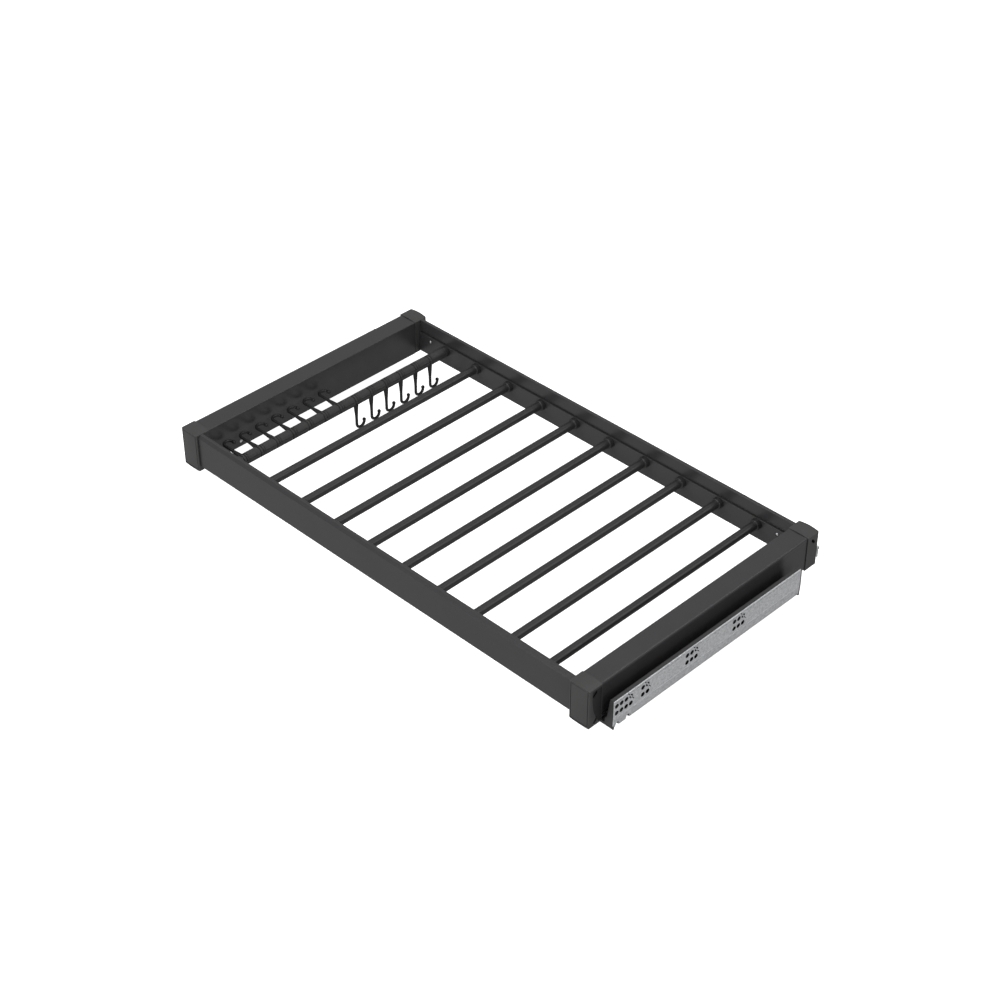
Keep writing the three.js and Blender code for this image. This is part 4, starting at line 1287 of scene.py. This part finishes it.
    def build_drawer_member(self) -> bpy.types.Object:
        """The channel that carries the rack, with the upright tab and the eyelet at its rear end."""
        node = f"{self.name}_drawer_member"
        centre, outer, top = SIZES.runner_centre, SIZES.drawer_half, SIZES.drawer_top
        inner, foot, shelf = outer - self.sheet, self.drawer_foot, top - self.sheet
        lip, under = inner - self.drawer_lip, foot + self.sheet
        half = [(outer, top, 0.9), (outer, foot), (lip, foot), (lip, under), (inner, under)]
        half.append((inner, shelf, 0.3))
        section = half + [(-a, *rest) for a, *rest in half[::-1]]
        back = SIZES.depth + self.tab_set
        channel = rounded(self._at([(centre + a, *rest) for a, *rest in section]), 4, 0.15, 0.2)
        member = mesh_of(node + "_channel", [extruded(channel, "y", self.drawer_start, back, 0.15)])
        post = outer - self.loop_width
        upright = [
            (outer, shelf + 0.3),
            (outer, self.loop_height),
            (post, self.loop_height),
            (post, self.tab_top, 1.0),
            (-outer, self.tab_top, 1.5),
            (-outer, shelf + 0.3),
        ]
        tab = rounded(self._at([(centre + a, *rest) for a, *rest in upright]), 4, 0.15, 0.2)
        carved(member, [extruded(tab, "y", back - self.sheet, back, 0.15)], "UNION")
        eye = (back - self.sheet / 2, self.loop_height)
        near, far = (SIZES.across(self.side, -centre - a) for a in (post, outer))
        carved(member, [extruded(disc(*eye, self.loop_radius), "x", near, far)], "UNION")
        span = (near - self.side.value, far + self.side.value)
        carved(member, [extruded(disc(*eye, self.loop_bore, 24), "x", *span, 0)])
        return dressed(shaded(member), node, ZINC.material())

    def build_cover(self) -> bpy.types.Object:
        """The dark moulded cover, open toward the web that it clips to.

        A skin runs along the web between a front and a rear plate, and a sole runs back from the
        front plate's tongue. The tongue's foot and the sole are dark pieces laid in the shaded gap
        under the cap and rail, and they carry painted shade.
        """
        node = f"{self.name}_runner_cover"
        face, foot = self.web_outer - self.web_sheet - SIZES.play, SIZES.shelf_top + 0.3
        top_set, foot_set, knee = self.cover_top_set, self.cover_foot_set, self.cover_knee
        wall = self.cover_wall
        skin = rounded(
            self._at(
                [
                    (face, self.web_top),
                    (top_set, self.web_top, 0.6),
                    (foot_set, knee, 0.6),
                    (foot_set, foot),
                    (foot_set + wall, foot),
                    (foot_set + wall, knee),
                    (top_set + wall, self.web_top - wall),
                    (face, self.web_top - wall),
                ]
            )
        )
        low = SIZES.shelf_bottom
        heel = [(self.tongue_foot[-1][0], low - 1), (self.heel_set, low - 1, 0.4)]
        heel += [(self.heel_set, self.heel_top, 1.0), (face, self.heel_back, 1.0)]
        front_edge = [*self.tongue, *self.tongue_foot, *heel]
        tucked = [(self.web_outer - self.web_tuck, low), (self.web_outer, self.web_bend)]
        rear_edge = [(foot_set, knee, 0.6), (foot_set, low), *tucked]
        front_plate, rear_plate = (
            rounded(self._at([(edge, self.web_top), (top_set, self.web_top, 0.6), *outline]))
            for edge, outline in ((face, front_edge), (self.web_outer, rear_edge))
        )
        start, end = self.cover_start, self.cover_start + self.cover_length
        cover = mesh_of(node + "_moulding", [extruded(skin, "y", start + 0.5, end - 0.5, 0)])
        # The sole is a dark sheet that fills the shaded gap under the rail.
        near, far = self.sole_set, foot_set + 0.6
        under, over = (foot + rise for rise in self.sole_levels)
        sole = self._at([(near, under), (far, under), (far, over), (near, over)])
        plates = [
            extruded(front_plate, "y", start, start + self.cover_plate),
            extruded(rounded(sole), "y", start + self.cover_plate + 0.02, start + self.sole_end),
            extruded(rear_plate, "y", end - self.cover_plate, end),
        ]
        carved(cover, plates, "UNION")
        dressed(shaded(cover), node, COVER_PLASTIC.material())
        # Painted shade on the tongue's foot and the sole.
        self._paint_foot_shade(cover)
        return cover

    def _paint_foot_shade(self, cover: bpy.types.Object) -> None:
        """Paints the tongue's foot and the sole with the caps' field finish, whose darker colour is
        painted shade for the gap under the rail.
        """
        cover.data.materials.append(CAP_FIELD_GRAIN_AND_SHADE.material())
        reach = (SIZES.half_width + self.cover_foot_set) * MM
        height = DATUM.place(np.array([[0, 0, self.painted_shade_below]]))[0, 2]
        for face in cover.data.polygons:
            if abs(face.center.x) < reach and face.center.z < height:
                face.material_index = 1

    def build(self) -> None:
        """Makes the fixed pieces and dresses the sliding ones."""
        self.build_cabinet_member()
        self.build_cover()
        self.build_drawer_member()
        paint_node(f"{self.name}_intermediate_member", ZINC.material())
        for part in ("upper_carriage", "lower_carriage"):
            paint_node(f"{self.name}_{part}", CAGE.material())


def paint_node(node: str, material: bpy.types.Material) -> None:
    """Gives its finish to a CAD node that stays, and leaves its shape alone."""
    obj = frame["nodes"][node]
    for slot in obj.material_slots:
        slot.material = material
    LOG.info("%s keeps its CAD shape", node)


# Studio


@dataclass(frozen=True)
class Lamp:
    """A square soft light aimed at the rack: its place and size in metres, its power in watts."""

    name: str
    place: tuple[float, float, float]
    size: float
    power: float

    def build(self) -> None:
        """Hangs the light."""
        data = bpy.data.lights.new(self.name, "AREA")
        data.shape, data.size, data.energy = "SQUARE", self.size, self.power
        light = bpy.data.objects.new(self.name, data)
        light.location = self.place
        light.rotation_euler = (-Vector(self.place)).to_track_quat("-Z", "Y").to_euler()
        bpy.context.scene.collection.objects.link(light)


@dataclass
class Studio:
    """A pale floor, soft lights and a camera at the photograph's viewing angle.

    Turn and pitch are the camera's, in degrees, its place is in metres, and its lens and sensor are
    in millimetres. The surround's rows are a share of the turn about x and a grey.
    """

    turn: float = 44.8384
    pitch: float = 37.0749
    place: tuple[float, float, float] = (1.7149, -1.7104, 1.8721)
    lens: float = 75.4565
    sensor: float = 36.0
    far_clip: float = 60.0
    floor_half: float = 9.0
    floor_tone: float = 0.92
    floor_glow: float = 0.85
    lamps: tuple[Lamp, ...] = (
        Lamp("key", (-0.5, -4.0, 1.25), 2.4, 80.0),
        Lamp("top", (-0.2, 0.2, 4.2), 3.0, 60.0),
        Lamp("rim", (2.2, 1.9, 2.2), 1.2, 11.0),
        Lamp("side", (3.6, -0.6, 1.3), 1.6, 26.0),
    )
    surround: tuple[tuple[float, float], ...] = (
        (0.0, 0.35),
        (0.13, 0.52),
        (0.25, 0.5),
        (0.37, 0.56),
        (0.5, 0.3),
        (0.63, 0.52),
        (0.75, 0.6),
        (0.88, 0.33),
        (1.0, 0.35),
    )
    dark_way: tuple[float, float, float] = (-0.2, 0.54, -0.82)
    dark_range: tuple[float, float] = (0.74, 0.88)
    dark_levels: tuple[float, float] = (1.0, 0.03)

    def build(self) -> None:
        """Sets the stage."""
        self._floor()
        self._world()
        for lamp in self.lamps:
            lamp.build()
        self._camera()
        bpy.context.scene.view_settings.view_transform = "Standard"

    def _floor(self) -> None:
        """A wide pale floor just under the lowest hook."""
        half = self.floor_half
        corners = [(-half, -half, 0), (half, -half, 0), (half, half, 0), (-half, half, 0)]
        mesh = bpy.data.meshes.new("floor")
        mesh.from_pydata(corners, [], [(0, 1, 2, 3)])
        floor = bpy.data.objects.new("floor", mesh)
        bpy.context.scene.collection.objects.link(floor)
        paint = bpy.data.materials.new("pale_floor")
        paint.use_nodes = True
        shader = paint.node_tree.nodes["Principled BSDF"]
        shader.inputs["Base Color"].default_value = (*[self.floor_tone] * 3, 1)
        shader.inputs["Roughness"].default_value = 0.9
        shader.inputs["Specular IOR Level"].default_value = 0.1
        shader.inputs["Emission Color"].default_value = (1, 1, 1, 1)
        shader.inputs["Emission Strength"].default_value = self.floor_glow
        mesh.materials.append(paint)
        floor.visible_diffuse = floor.visible_glossy = False

    def _world(self) -> None:
        """A soft surround, shaded by the angle about the x axis from the front over and under the rack.

        The angle is the arc tangent of z over y, so a share of 0 or 1 is level with the front, a
        quarter is straight down, a half is level with the rear and three quarters is overhead. One
        patch, low behind the rack at its left, is nearly black, so that rounded edges end dark.
        """
        world = bpy.data.worlds.new("studio")
        world.use_nodes = True
        tree = world.node_tree
        place = tree.nodes.new("ShaderNodeTexCoord")
        split = tree.nodes.new("ShaderNodeSeparateXYZ")
        around = tree.nodes.new("ShaderNodeMath")
        around.operation = "ARCTAN2"
        ramp = tree.nodes.new("ShaderNodeValToRGB")
        stops = ramp.color_ramp.elements
        for spot, shade in self.surround[1:-1]:
            stops.new(spot)
        for stop, (spot, shade) in zip(stops, self.surround):
            stop.position, stop.color = spot, (shade, shade, shade, 1)
        surround = tree.nodes["Background"]
        tree.links.new(place.outputs["Generated"], split.inputs["Vector"])
        tree.links.new(split.outputs["Z"], around.inputs[0])
        tree.links.new(split.outputs["Y"], around.inputs[1])
        share = ranged(tree, around.outputs["Value"], (-math.pi, math.pi), (0.0, 1.0))
        tree.links.new(share, ramp.inputs["Fac"])
        toward = tree.nodes.new("ShaderNodeVectorMath")
        toward.operation = "DOT_PRODUCT"
        toward.inputs[1].default_value = self.dark_way
        tree.links.new(place.outputs["Generated"], toward.inputs[0])
        dimmed = ranged(tree, toward.outputs["Value"], self.dark_range, self.dark_levels)
        darkened = tree.nodes.new("ShaderNodeVectorMath")
        darkened.operation = "SCALE"
        tree.links.new(ramp.outputs["Color"], darkened.inputs[0])
        tree.links.new(dimmed, darkened.inputs["Scale"])
        tree.links.new(darkened.outputs["Vector"], surround.inputs["Color"])
        surround.inputs["Strength"].default_value = 1.0
        bpy.context.scene.world = world

    def _camera(self) -> None:
        """The camera, placed by the photograph's perspective, with no shift of its lens."""
        data = bpy.data.cameras.new("camera")
        data.sensor_width, data.lens, data.clip_end = self.sensor, self.lens, self.far_clip
        camera = bpy.data.objects.new("camera", data)
        turn, pitch = math.radians(self.turn), math.radians(self.pitch)
        ahead = Vector(
            (-math.sin(turn) * math.cos(pitch), math.cos(turn) * math.cos(pitch), -math.sin(pitch))
        )
        camera.location = self.place
        camera.rotation_euler = ahead.to_track_quat("-Z", "Y").to_euler()
        bpy.context.scene.collection.objects.link(camera)
        bpy.context.scene.camera = camera


def main() -> None:
    """Builds the rack's looks in order."""
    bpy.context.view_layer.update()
    for end in End:
        EndRail(end).build()
    for side in Side:
        SideRail(side).build()
        for end in End:
            CornerCap(side, end).build()
    for number in range(SIZES.bar_count):
        CrossBar(number).build()
    HookRow().build()
    for side in Side:
        Runner(side).build()
    Studio().build()


if __name__ == "__main__":
    main()
